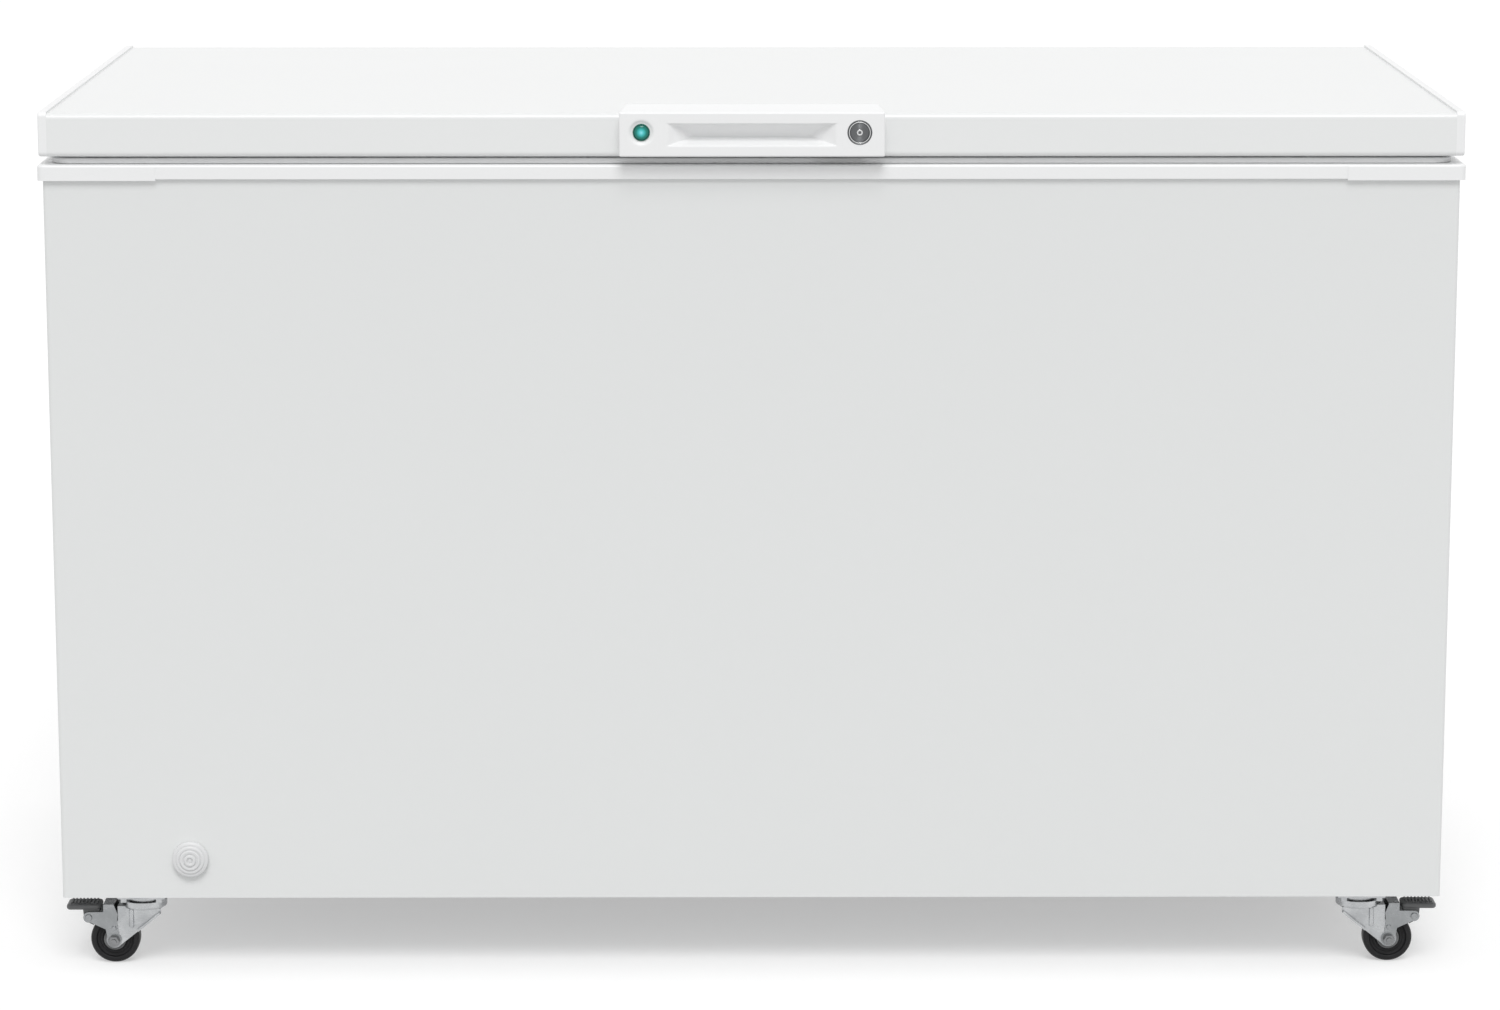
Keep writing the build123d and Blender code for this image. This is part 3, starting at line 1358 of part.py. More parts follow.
with BuildPart() as vent_grille:
    with BuildSketch(Plane.YZ.offset(X_SIDE)):
        with Locations((GRILLE_Y, GRILLE_Z)):
            RectangleRounded(GRILLE_WIDTH, GRILLE_HEIGHT, GRILLE_CORNER)
    extrude(amount=GRILLE_T)
    fillet(vent_grille.faces().sort_by(Axis.X)[-1].edges(), GRILLE_T / 2)
    with BuildSketch(Plane.YZ.offset(X_SIDE)):
        with Locations((GRILLE_Y, GRILLE_Z)):
            Rectangle(GRILLE_WIDTH - 2 * GRILLE_FLANGE, GRILLE_HEIGHT - 2 * GRILLE_FLANGE)
    extrude(amount=-GRILLE_DEPTH)
    with BuildSketch(Plane.YZ.offset(X_SIDE + GRILLE_T)):
        with Locations((SLOTS_Y, GRILLE_Z)):
            with GridLocations(0, GRILLE_PITCH, 1, GRILLE_SLOTS):
                SlotOverall(GRILLE_LENGTH, GRILLE_SLOT)
    extrude(amount=-GRILLE_T - GRILLE_DEPTH, mode=Mode.SUBTRACT)
    with BuildSketch(Plane.YZ.offset(X_SIDE + GRILLE_T)):
        with Locations((DIAL_Y, GRILLE_Z)):
            Circle(DIAL_R + DIAL_CLEAR)
    extrude(amount=-DIAL_WELL, mode=Mode.SUBTRACT)
    with BuildSketch(Plane.YZ.offset(X_SIDE + GRILLE_T)):
        with Locations((DIAL_Y, GRILLE_Z)):
            Circle(DIAL_STEM_R + 1)
    extrude(amount=-GRILLE_T - GRILLE_DEPTH, mode=Mode.SUBTRACT)
write(vent_grille.part, "vent_grille")

with BuildPart() as control_dial:
    dial_front = X_SIDE + GRILLE_T + DIAL_PROUD
    with BuildSketch(Plane.YZ.offset(WELL_FLOOR + DIAL_FLOAT)):
        with Locations((DIAL_Y, GRILLE_Z)):
            Circle(DIAL_R)
    extrude(amount=X_SIDE + GRILLE_T - WELL_FLOOR - DIAL_STEP)
    with BuildSketch(Plane.YZ.offset(WELL_FLOOR + DIAL_FOOT)):
        with Locations((DIAL_Y, GRILLE_Z)):
            SlotOverall(2 * (DIAL_R - DIAL_FOOT), DIAL_GRIP, rotation=90)
    extrude(amount=dial_front - WELL_FLOOR - DIAL_FOOT)
    with BuildSketch(Plane.YZ.offset(WELL_FLOOR + DIAL_FOOT)):
        with Locations((DIAL_Y, GRILLE_Z)):
            Circle(DIAL_STEM_R)
    extrude(amount=-DIAL_STEM)
write(control_dial.part, "control_dial")

with BuildPart() as thermostat:
    block(
        (GRILLE_BACK - THERMOSTAT_DEPTH, DIAL_Y - THERMOSTAT_WIDTH / 2, GRILLE_Z - THERMOSTAT_HEIGHT / 2),
        (GRILLE_BACK, DIAL_Y + THERMOSTAT_WIDTH / 2, GRILLE_Z + THERMOSTAT_HEIGHT / 2),
    )
    fillet(thermostat.faces().sort_by(Axis.X)[0].edges(), SHELL_CORNER)
    with BuildSketch(Plane.YZ.offset(GRILLE_BACK)):
        with Locations((DIAL_Y, GRILLE_Z)):
            Circle(DIAL_STEM_R + RUNNING_FIT)
    extrude(amount=-DIAL_STEM, mode=Mode.SUBTRACT)
write(thermostat.part, "thermostat")

cable_gland = turned_along_y(
    (GLAND_X, Y_BACK, GLAND_Z),
    [
        (GLAND_BORE_R, -SHEET - GLAND_INSIDE),
        (GLAND_STEM_R, -SHEET - GLAND_INSIDE),
        (GLAND_STEM_R, 0),
        (GLAND_R, 0),
        (GLAND_R, GLAND_FLANGE),
        (GLAND_NOSE_R, GLAND_LENGTH),
        (GLAND_BORE_R, GLAND_LENGTH),
    ],
)
write(cable_gland, "cable_gland")

# Hanging baskets of straight wires, which rest with their rim wires on the ledges of the rim
BASKET_DEPTH = TUB_DEPTH - 2 * (RIM_INNER_T + LEDGE_REACH + BASKET_SIDE_GAP + WIRE)
BASKET_HANG = TUB_DEPTH - 2 * (RIM_INNER_T + BASKET_LEDGE_GAP)
BASKET_TOP = LEDGE_Z + WIRE


def wire_row(plane, places, length):
    """Straight wires of eight sides through the given places of a plane, each this long."""
    with BuildPart() as row:
        with BuildSketch(plane):
            with Locations(*places):
                RegularPolygon(WIRE / 2, WIRE_SIDES, major_radius=False, rotation=180 / WIRE_SIDES)
        extrude(amount=length / 2, both=True)
    return row.part.solids()


def spread(count, width):
    """Even places across a width, its two ends included."""
    return [width * (step / (count - 1) - 0.5) for step in range(count)]


def basket(x):
    """A basket about one place along the freezer: rim and middle hoops, upright wires and a floor grid."""
    half_x = BASKET_WIDTH / 2
    half_y = BASKET_DEPTH / 2
    floor_z = BASKET_TOP - BASKET_DROP
    rim_z = BASKET_TOP - WIRE / 2
    across = Plane((x, Y_MID, 0), x_dir=(1, 0, 0), z_dir=(0, -1, 0))
    along = Plane((x, Y_MID, 0), x_dir=(0, 1, 0), z_dir=(1, 0, 0))
    end_height = rim_z - WIRE / 2 - floor_z
    end_uprights = Plane((x, Y_MID, floor_z + end_height / 2))
    side_uprights = Plane((x, Y_MID, floor_z + BASKET_DROP / 2))
    ribs = spread(BASKET_RIBS, BASKET_WIDTH - 6 * WIRE)
    stays = spread(BASKET_STAYS, BASKET_DEPTH - BASKET_DEPTH / BASKET_STAYS)
    hoop_z = (rim_z + floor_z) / 2
    wires = wire_row(across, [(side * half_x, rim_z) for side in (-1, 1)], BASKET_HANG)
    wires += wire_row(across, [(side * half_x, hoop_z) for side in (-1, 1)], BASKET_DEPTH)
    wires += wire_row(across, [(rib, floor_z + 1.5 * WIRE) for rib in ribs], BASKET_DEPTH)
    hoop_length = BASKET_WIDTH - WIRE
    wires += wire_row(along, [(end * half_y, rim_z) for end in (-1, 1)], hoop_length)
    wires += wire_row(along, [(end * (half_y - WIRE / 2), hoop_z) for end in (-1, 1)], hoop_length)
    wires += wire_row(along, [(stay, floor_z + WIRE / 2) for stay in stays], BASKET_WIDTH - 3 * WIRE)
    end_places = [(rib, end * (half_y + WIRE / 2)) for rib in ribs for end in (-1, 1)]
    wires += wire_row(end_uprights, end_places, end_height)
    side_places = [(side * (half_x - WIRE), stay) for stay in stays for side in (-1, 1)]
    wires += wire_row(side_uprights, side_places, BASKET_DROP)
    return Compound(children=wires)


BASKET_X = STRIP_X - BASKET_END_GAP - BASKET_WIDTH / 2
write(basket(-BASKET_X), "basket_left")
write(basket(BASKET_X), "basket_right")


# Casters, drawn for the left side about the swivel axis: the wheel trails towards -X
WHEEL_CENTRE = (-CASTER_TRAIL, 0, WHEEL_R)


def caster_plate():
    """The fixed top plate with its upper race and riveted king pin."""
    with BuildPart() as plate:
        with BuildSketch(Plane.XY.offset(PLATE_Z)):
            RectangleRounded(PLATE_X, PLATE_Y, PLATE_CORNER)
            with GridLocations(BOLT_X, BOLT_Y, 2, 2):
                Circle(BOLT_R + RUNNING_FIT, mode=Mode.SUBTRACT)
        extrude(amount=PLATE_T)
        pin_end = CROWN_Z - RACE_GAP - KINGPIN_HEAD
        add(
            turned_along_z(
                (0, 0, 0),
                [
                    (0, PLATE_Z),
                    (RACE_R, PLATE_Z),
                    (RACE_R, CROWN_TOP - RACE_STEP),
                    (RACE_R - RACE_TAPER, CROWN_Z + CROWN_T + RACE_GAP),
                    (KINGPIN_R, CROWN_Z + CROWN_T + RACE_GAP),
                    (KINGPIN_R, CROWN_Z - RACE_GAP),
                    (KINGPIN_HEAD_R, CROWN_Z - RACE_GAP),
                    (KINGPIN_HEAD_R - KINGPIN_TAPER, pin_end),
                    (0, pin_end),
                ],
            )
        )
    return plate.part


def caster_fork():
    """The pressed fork: a dished crown, a top web and two legs with a bead and a flanged front edge."""
    leg_low = LEG_GAP / 2
    leg_front = (CROWN_R - LEG_FRONT_INSET, CROWN_Z - LEG_FRONT_INSET)
    leg_foot = (-CASTER_TRAIL + LEG_FOOT_X, WHEEL_R - LEG_FOOT_Z)
    with BuildPart() as fork:
        add(
            turned_along_z(
                (0, 0, 0),
                [
                    (0, CROWN_Z),
                    (CROWN_R - CROWN_WALL, CROWN_Z),
                    (CROWN_R - CROWN_BEVEL, CROWN_Z + CROWN_BEVEL),
                    (CROWN_R, CROWN_Z + CROWN_WALL),
                    (CROWN_R, CROWN_TOP),
                    (CROWN_R - CROWN_WALL, CROWN_TOP),
                    (CROWN_R - CROWN_WALL, CROWN_Z + CROWN_T),
                    (0, CROWN_Z + CROWN_T),
                ],
            )
        )
        with BuildSketch(Plane.XY.offset(CROWN_Z)):
            with Locations((-CROWN_BACK / 2, 0)):
                Rectangle(CROWN_BACK, LEG_GAP + 2 * LEG_T)
        extrude(amount=CROWN_T)
        for side in (-1, 1):
            with BuildSketch(Plane.XZ.offset(side * (leg_low + LEG_T / 2))):
                with BuildLine():
                    Polyline(
                        (-CROWN_BACK, CROWN_Z),
                        (CROWN_R - LEG_FRONT_INSET, CROWN_Z),
                        leg_front,
                        leg_foot,
                        (-CASTER_TRAIL, WHEEL_R),
                        (-CASTER_TRAIL - LEG_EYE_R + LEG_BACK_INSET, WHEEL_R),
                        (-CROWN_BACK, CROWN_Z - LEG_BACK_DROP),
                        close=True,
                    )
                make_face()
                with Locations((-CASTER_TRAIL, WHEEL_R)):
                    Circle(LEG_EYE_R)
                    Circle(AXLE_R + RUNNING_FIT, mode=Mode.SUBTRACT)
            extrude(amount=LEG_T / 2, both=True)
            outer = Plane.XZ.offset(side * (leg_low + LEG_T))
            with BuildSketch(outer):
                with Locations((LEG_BEAD_X, (LEG_BEAD_LOW + CROWN_Z) / 2)):
                    SlotOverall(CROWN_Z - LEG_BEAD_LOW, LEG_BEAD, rotation=90)
            extrude(amount=side * LEG_BEAD_T, taper=LEG_BEAD_TAPER)
            along = Vector(*leg_front) - Vector(*leg_foot)
            inward = Vector(-along.Y, along.X).normalized() * LEG_T
            end = Vector(*leg_foot) + along * LEG_FLANGE_SHARE
            with BuildSketch(outer):
                with BuildLine():
                    Polyline(leg_front, end, end + inward, Vector(*leg_front) + inward, close=True)
                make_face()
            extrude(amount=side * LEG_FLANGE)
        with Locations((0, 0, CROWN_Z)):
            Cylinder(KINGPIN_R + RUNNING_FIT, 4 * CROWN_T, mode=Mode.SUBTRACT)
    return fork.part


def caster_axle(outside):
    """The axle bolt with its head, nut and washers against the outermost plates."""
    nut_r = AXLE_NUT / math.sqrt(3)
    with BuildPart() as axle:
        add(
            turned_along_y(
                WHEEL_CENTRE,
                [
                    (0, -outside - WASHER_T),
                    (WASHER_R, -outside - WASHER_T),
                    (WASHER_R, -outside),
                    (AXLE_R, -outside),
                    (AXLE_R, outside),
                    (WASHER_R, outside),
                    (WASHER_R, outside + WASHER_T),
                    (0, outside + WASHER_T),
                ],
            )
        )
        for side in (-1, 1):
            with BuildSketch(Plane.XZ.offset(side * (outside + WASHER_T))):
                with Locations((-CASTER_TRAIL, WHEEL_R)):
                    RegularPolygon(nut_r, 6)
            extrude(amount=side * AXLE_NUT_T)
        with BuildSketch(Plane.XZ.offset(outside + WASHER_T + AXLE_NUT_T)):
            with Locations((-CASTER_TRAIL, WHEEL_R)):
                Circle(AXLE_R)
        extrude(amount=AXLE_R / 2)
    return axle.part


def caster_wheel():
    """A moulded wheel with rounded tread edges, dished sides and a long hub."""
    half = WHEEL_WIDTH / 2
    hub = HUB_WIDTH / 2
    bore = AXLE_R + RUNNING_FIT
    with BuildPart() as wheel:
        with BuildSketch(Plane(WHEEL_CENTRE)):
            with BuildLine():
                for end in (-1, 1):
                    RadiusArc(
                        (WHEEL_R, end * (half - WHEEL_ROUND)),
                        (WHEEL_R - WHEEL_ROUND, end * half),
                        -end * WHEEL_ROUND,
                    )
                    Polyline(
                        (WHEEL_R - WHEEL_ROUND, end * half),
                        (WHEEL_RIM_R, end * half),
                        (WHEEL_RIM_R - WHEEL_RIM_SLOPE, end * (half - WHEEL_DISH)),
                        (HUB_R + HUB_SLOPE, end * (half - WHEEL_DISH)),
                        (HUB_R, end * hub),
                        (bore, end * hub),
                    )
                Line((WHEEL_R, -half + WHEEL_ROUND), (WHEEL_R, half - WHEEL_ROUND))
                Line((bore, -hub), (bore, hub))
            make_face()
        revolve(axis=Axis(WHEEL_CENTRE, (0, 1, 0)))
    return wheel.part


PIVOT = (-CASTER_TRAIL + PEDAL_PIVOT_X, WHEEL_R + PEDAL_PIVOT_Z)
BRACKET_IN = LEG_GAP / 2 + LEG_T


def brake_bracket():
    """Two side plates on the axle, joined by a strap over the wheel, with the pedal's riveted pin."""
    with BuildPart() as bracket:
        for side in (-1, 1):
            with BuildSketch(Plane.XZ.offset(side * (BRACKET_IN + BRACKET_T / 2))):
                with BuildLine():
                    Polyline(
                        (-CASTER_TRAIL - BRACKET_EYE_R + BRACKET_BACK_INSET, WHEEL_R),
                        (-CASTER_TRAIL - STRAP_BACK + BRACKET_HEEL[0], WHEEL_R + BRACKET_HEEL[1]),
                        (PIVOT[0] + BRACKET_EAR_INSET, PIVOT[1] - PEDAL_EAR_R),
                        PIVOT,
                        (PIVOT[0], PIVOT[1] + PEDAL_EAR_R),
                        (-CASTER_TRAIL - STRAP_BACK, WHEEL_R + STRAP_TOP_Z - BRACKET_SHOULDER),
                        (-CASTER_TRAIL - STRAP_BACK, WHEEL_R + STRAP_TOP_Z),
                        (-CASTER_TRAIL - STRAP_BACK + STRAP_WIDTH, WHEEL_R + STRAP_TOP_Z),
                        *[(-CASTER_TRAIL + x, WHEEL_R + z) for x, z in BRACKET_NECK],
                        (-CASTER_TRAIL + BRACKET_EYE_R - BRACKET_FRONT_INSET, WHEEL_R),
                        close=True,
                    )
                make_face()
                with Locations((-CASTER_TRAIL, WHEEL_R)):
                    Circle(BRACKET_EYE_R)
                    Circle(AXLE_R + RUNNING_FIT, mode=Mode.SUBTRACT)
                with Locations(PIVOT):
                    Circle(PEDAL_EAR_R)
            extrude(amount=BRACKET_T / 2, both=True)
        strap_y = BRACKET_IN + BRACKET_T
        block(
            (-CASTER_TRAIL - STRAP_BACK, -strap_y, WHEEL_R + STRAP_TOP_Z - STRAP_T),
            (-CASTER_TRAIL - STRAP_BACK + STRAP_WIDTH, strap_y, WHEEL_R + STRAP_TOP_Z),
        )
        with BuildSketch(Plane.XZ):
            with Locations(PIVOT):
                Circle(PEDAL_PIN_R)
        extrude(amount=strap_y, both=True)
        with BuildSketch(Plane.XZ.offset(strap_y)):
            with Locations(PIVOT):
                Circle(PEDAL_PIN_R + PEDAL_PIN_FLANGE)
        extrude(amount=PEDAL_PIN_HEAD, taper=RIVET_TAPER)
        for side in (-1, 1):
            with BuildSketch(Plane.XZ.offset(side * strap_y)):
                with Locations((-CASTER_TRAIL, WHEEL_R + BRACKET_RIVET_Z)):
                    Circle(BRACKET_RIVET_R)
            extrude(amount=side * BRACKET_RIVET_T, taper=RIVET_TAPER)
    return bracket.part


def brake_pedal():
    """The foot lever: a flat tread, a web round the pin and a lobe that jams against the tyre."""
    reach = math.hypot(PEDAL_PIVOT_X, PEDAL_PIVOT_Z) - WHEEL_R - BRAKE_GAP
    rest = math.atan2(-PEDAL_PIVOT_Z, -PEDAL_PIVOT_X) - math.radians(BRAKE_SWING)
    lobe = (PIVOT[0] + reach * math.cos(rest), PIVOT[1] + reach * math.sin(rest))
    tread_low = WHEEL_R + PEDAL_TOP_Z - PEDAL_T
    tread_mid = -CASTER_TRAIL + (PEDAL_TIP + PEDAL_HEEL) / 2
    with BuildPart() as pedal:
        with BuildSketch(Plane.XY.offset(tread_low)):
            with Locations((tread_mid, 0)):
                RectangleRounded(PEDAL_HEEL - PEDAL_TIP, PEDAL_WIDTH, SHELL_CORNER)
        extrude(amount=PEDAL_T - PEDAL_GRIP_T)
        flats = pedal.faces().filter_by(Axis.Z)
        fillet(flats.edges(), PEDAL_ROUND)
        with BuildSketch(Plane.XZ):
            with BuildLine():
                Polyline(
                    (PIVOT[0] + PEDAL_WEB_TOP[0], tread_low + PEDAL_WEB_ROOT),
                    *[(PIVOT[0] + x, PIVOT[1] + z) for x, z in PEDAL_WEB_BACK],
                    lobe,
                    (PIVOT[0] + PEDAL_WEB_FRONT[0], PIVOT[1] + PEDAL_WEB_FRONT[1]),
                    (PIVOT[0] + PEDAL_WEB_TOP[1], tread_low + PEDAL_WEB_ROOT),
                    close=True,
                )
            make_face()
            with Locations(PIVOT):
                Circle(PEDAL_PIN_R + RUNNING_FIT, mode=Mode.SUBTRACT)
        extrude(amount=BRACKET_IN - PEDAL_WEB_CLEAR, both=True)
        with BuildSketch(Plane.XY.offset(tread_low + PEDAL_T - PEDAL_GRIP_T)):
            with Locations((tread_mid, 0)):
                with GridLocations(PEDAL_GRIP_PITCH, 0, PEDAL_GRIPS, 1):
                    Rectangle(PEDAL_GRIP_WIDTH, PEDAL_WIDTH - 3 * PEDAL_ROUND)
        extrude(amount=PEDAL_GRIP_T)
    return pedal.part


def place(part, side, end):
    """A left-hand caster piece moved to its corner, mirrored for the right side and for the back."""
    if side > 0:
        part = part.mirror(Plane.YZ)
    if end > 0:
        part = part.mirror(Plane.XZ)
    corner = (side * CASTER_SPREAD_X / 2, Y_MID + end * CASTER_SPREAD_Y / 2, 0)
    return part.moved(Location(corner))


CORNERS = {"front_left": (-1, -1), "front_right": (1, -1), "rear_left": (-1, 1), "rear_right": (1, 1)}
plates = [place(caster_plate(), side, end) for side, end in CORNERS.values()]
write(Compound(children=plates), "caster_plates")

with BuildPart() as caster_bolts:
    with BuildSketch(Plane.XY.offset(PLATE_Z)):
        with Locations(*caster_bolt_places()):
            Circle(BOLT_R)
    extrude(amount=PLATE_T + BASE_T)
    with BuildSketch(Plane.XY.offset(PLATE_Z)):
        with Locations(*caster_bolt_places()):
            RegularPolygon(BOLT_HEAD / math.sqrt(3), 6)
    extrude(amount=-BOLT_HEAD_T)
write(caster_bolts.part, "caster_bolts")

for corner, (side, end) in CORNERS.items():
    braked = end < 0
    outside = BRACKET_IN + (BRACKET_T if braked else 0)
    write(place(caster_fork(), side, end), f"caster_fork_{corner}")
    write(place(caster_axle(outside), side, end), f"caster_axle_{corner}")
    write(place(caster_wheel(), side, end), f"caster_wheel_{corner}")
    if braked:
        write(place(brake_bracket(), side, end), f"brake_bracket_{corner}")
        write(place(brake_pedal(), side, end), f"brake_pedal_{corner}")
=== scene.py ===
# %% [markdown]
# # A chest freezer, dressed in Blender
#
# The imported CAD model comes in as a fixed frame: every node already sits in its right place, in metres. This
# lesson keeps the sheet metal and the stiff mouldings as they come and gives them a finish. What is soft,
# turned or wound on the real freezer is made again as a smooth surface worked out with numpy. Its lengths
# are written in millimetres, as on a drawing, and become metres when a mesh is made.

# %% The frame and the tools
import json
import math

import bmesh
import bpy
import numpy as np
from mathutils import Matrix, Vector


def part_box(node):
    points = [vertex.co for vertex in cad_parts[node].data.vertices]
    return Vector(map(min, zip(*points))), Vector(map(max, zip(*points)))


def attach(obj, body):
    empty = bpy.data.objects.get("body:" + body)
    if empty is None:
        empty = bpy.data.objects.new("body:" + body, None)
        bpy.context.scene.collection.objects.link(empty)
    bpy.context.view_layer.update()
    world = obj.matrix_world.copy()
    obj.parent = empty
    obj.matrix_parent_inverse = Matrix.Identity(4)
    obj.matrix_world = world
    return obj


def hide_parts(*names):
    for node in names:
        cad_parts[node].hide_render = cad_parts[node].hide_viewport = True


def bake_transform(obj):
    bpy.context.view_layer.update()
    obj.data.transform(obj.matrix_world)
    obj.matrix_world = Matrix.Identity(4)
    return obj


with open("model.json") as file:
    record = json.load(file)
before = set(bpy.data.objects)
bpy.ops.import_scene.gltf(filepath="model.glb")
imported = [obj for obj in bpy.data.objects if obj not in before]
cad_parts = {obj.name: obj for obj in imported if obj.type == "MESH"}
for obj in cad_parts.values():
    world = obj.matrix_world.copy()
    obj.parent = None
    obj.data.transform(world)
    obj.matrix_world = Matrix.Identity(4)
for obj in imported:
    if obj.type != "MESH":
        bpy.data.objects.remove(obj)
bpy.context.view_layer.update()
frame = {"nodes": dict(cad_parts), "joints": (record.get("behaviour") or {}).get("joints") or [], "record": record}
nodes = frame["nodes"]
MM = 0.001
CORNERS = ("front_left", "front_right", "rear_left", "rear_right")


# %% [markdown]
# ## Shared effects
#
# Three effects come back in many finishes: the fine grain of a moulded or sprayed skin, a slow drift of tone
# over a large panel, and the drawn lines of plated steel. Each is a node group with its own inputs, so one
# recipe serves the enamel, the mouldings and the rubber at different sizes. An empty group with its sockets
# comes first.

# %% Empty groups
SOCKET_KINDS = {"value": "NodeSocketFloat", "colour": "NodeSocketColor"}


def group_with(name, inputs, outputs):
    """An empty shader node group with named float or colour sockets."""
    group = bpy.data.node_groups.new(name, "ShaderNodeTree")
    for socket, kind, default in inputs:
        made = group.interface.new_socket(name=socket, in_out="INPUT", socket_type=SOCKET_KINDS[kind])
        made.default_value = default
    for socket, kind in outputs:
        group.interface.new_socket(name=socket, in_out="OUTPUT", socket_type=SOCKET_KINDS[kind])
    return group, group.nodes.new("NodeGroupInput"), group.nodes.new("NodeGroupOutput")


print("socket kinds:", ", ".join(SOCKET_KINDS))


# %% [markdown]
# ### Sums and noise
#
# Wiring nodes by hand is wordy. Two helpers save most of it: a sum or product of two values, and noise that
# follows the piece's own coordinates, so that it stays in place when the piece moves.

# %% Wiring helpers
def math_node(tree, operation, first, second):
    """A Math node fed by two sockets or plain numbers."""
    node = tree.nodes.new("ShaderNodeMath")
    node.operation = operation
    for slot, value in zip(node.inputs, (first, second)):
        if isinstance(value, (int, float)):
            slot.default_value = value
        else:
            tree.links.new(value, slot)
    return node.outputs[0]


def noise_node(tree, scale, detail, stretch=None):
    """Noise on Object coordinates, squeezed along the axes where a stretch is given."""
    place = tree.nodes.new("ShaderNodeTexCoord").outputs["Object"]
    if stretch:
        mapping = tree.nodes.new("ShaderNodeMapping")
        mapping.inputs["Scale"].default_value = stretch
        tree.links.new(place, mapping.inputs["Vector"])
        place = mapping.outputs["Vector"]
    noise = tree.nodes.new("ShaderNodeTexNoise")
    noise.inputs["Detail"].default_value = detail
    tree.links.new(place, noise.inputs["Vector"])
    if isinstance(scale, (int, float)):
        noise.inputs["Scale"].default_value = scale
    else:
        tree.links.new(scale, noise.inputs["Scale"])
    return noise.outputs["Fac"]


print("helpers:", math_node.__name__, noise_node.__name__)


# %% [markdown]
# ### Grain
#
# Sprayed enamel and moulded plastic are never quite even: under a raking light they show a fine pebble, and
# their gloss changes a little from place to place. A fine noise gives the height, and a fine and a broad one
# together move the roughness.

# %% Grain group
def swayed(tree, middle, first, second, spread):
    """A value that sways about its middle: two noises less one, times the spread, are added to it."""
    sway = math_node(tree, "SUBTRACT", math_node(tree, "ADD", first, second), 1.0)
    return math_node(tree, "ADD", middle, math_node(tree, "MULTIPLY", sway, spread))


def make_skin_grain():
    """Grain: fine noise lifts the height a little, and fine and broad noise move the roughness."""
    group, given, out = group_with(
        "skin_grain",
        [("Size", "value", 700.0), ("Roughness", "value", 0.4), ("Spread", "value", 0.08)],
        [("Roughness", "value"), ("Height", "value")],
    )
    fine = noise_node(group, given.outputs["Size"], detail=2.0)
    broad = noise_node(group, scale=9.0, detail=4.0)
    rough = swayed(group, given.outputs["Roughness"], fine, broad, given.outputs["Spread"])
    group.links.new(rough, out.inputs["Roughness"])
    group.links.new(fine, out.inputs["Height"])
    return group


skin_grain = make_skin_grain()
print("node group:", skin_grain.name)


# %% [markdown]
# ### Slow tone
#
# A painted panel or a large moulding is a shade lighter in one place than in another. Broad noise between
# two close colours gives that. It could be painted on, but a formula fits any piece without a picture.

# %% Tone group
def mixed(tree, factor, first, second):
    """A colour between two others, by a factor from zero to one."""
    mix = tree.nodes.new("ShaderNodeMix")
    mix.data_type = "RGBA"
    tree.links.new(factor, mix.inputs["Factor"])
    tree.links.new(first, mix.inputs["A"])
    tree.links.new(second, mix.inputs["B"])
    return mix.outputs["Result"]


def make_slow_tone():
    """Tone: broad noise mixes two close colours, as paint and mouldings vary over a panel."""
    group, given, out = group_with(
        "slow_tone",
        [
            ("Colour", "colour", (0.8, 0.8, 0.8, 1)),
            ("Other", "colour", (0.7, 0.7, 0.7, 1)),
            ("Size", "value", 5.0),
        ],
        [("Colour", "colour")],
    )
    drift = noise_node(group, given.outputs["Size"], detail=4.0)
    tone = mixed(group, drift, given.outputs["Colour"], given.outputs["Other"])
    group.links.new(tone, out.inputs["Colour"])
    return group


slow_tone = make_slow_tone()
print("node group:", slow_tone.name)


# %% [markdown]
# ### Drawn lines
#
# Plated steel keeps faint lines from the rolls and the die, and the plate dulls in patches. Noise squeezed
# along one axis gives the lines, and a broad noise gives the patches.

# %% Metal group
def make_drawn_lines():
    """Drawn lines: noise squeezed along one axis gives the streaks, and broad noise dulls them in patches."""
    group, given, out = group_with(
        "drawn_lines",
        [
            ("Colour", "colour", (0.7, 0.7, 0.7, 1)),
            ("Dull", "colour", (0.45, 0.45, 0.45, 1)),
            ("Roughness", "value", 0.3),
            ("Spread", "value", 0.2),
        ],
        [("Colour", "colour"), ("Roughness", "value"), ("Height", "value")],
    )
    lines = noise_node(group, scale=60.0, detail=3.0, stretch=(1.0, 1.0, 18.0))
    patches = noise_node(group, scale=55.0, detail=5.0)
    colour = mixed(group, patches, given.outputs["Colour"], given.outputs["Dull"])
    rough = swayed(group, given.outputs["Roughness"], lines, patches, given.outputs["Spread"])
    group.links.new(colour, out.inputs["Colour"])
    group.links.new(rough, out.inputs["Roughness"])
    group.links.new(lines, out.inputs["Height"])
    return group


drawn_lines = make_drawn_lines()
print("node group:", drawn_lines.name)


# %% [markdown]
# ## Finishes
#
# The freezer is nearly all white, so its parts are told apart by gloss and by small shifts of tone: satin
# enamel on the steel, a glossier and slightly cooler white on the mouldings, a pebbled liner inside. Two
# recipes are enough for all of them: a skin for what is painted or moulded, and a metal for what is bare or
# plated. Both start from a plain shader and place the groups above with their own values.

# %% Starting a finish
def start_finish(name):
    """A material with its Principled shader, ready for more nodes."""
    finish = bpy.data.materials.new(name)
    finish.use_nodes = True
    return finish, finish.node_tree, finish.node_tree.nodes["Principled BSDF"]


def place_group(tree, group, **values):
    """A node group in a material, with its input values set by name."""
    node = tree.nodes.new("ShaderNodeGroup")
    node.node_tree = group
    for socket, value in values.items():
        node.inputs[socket].default_value = value
    return node


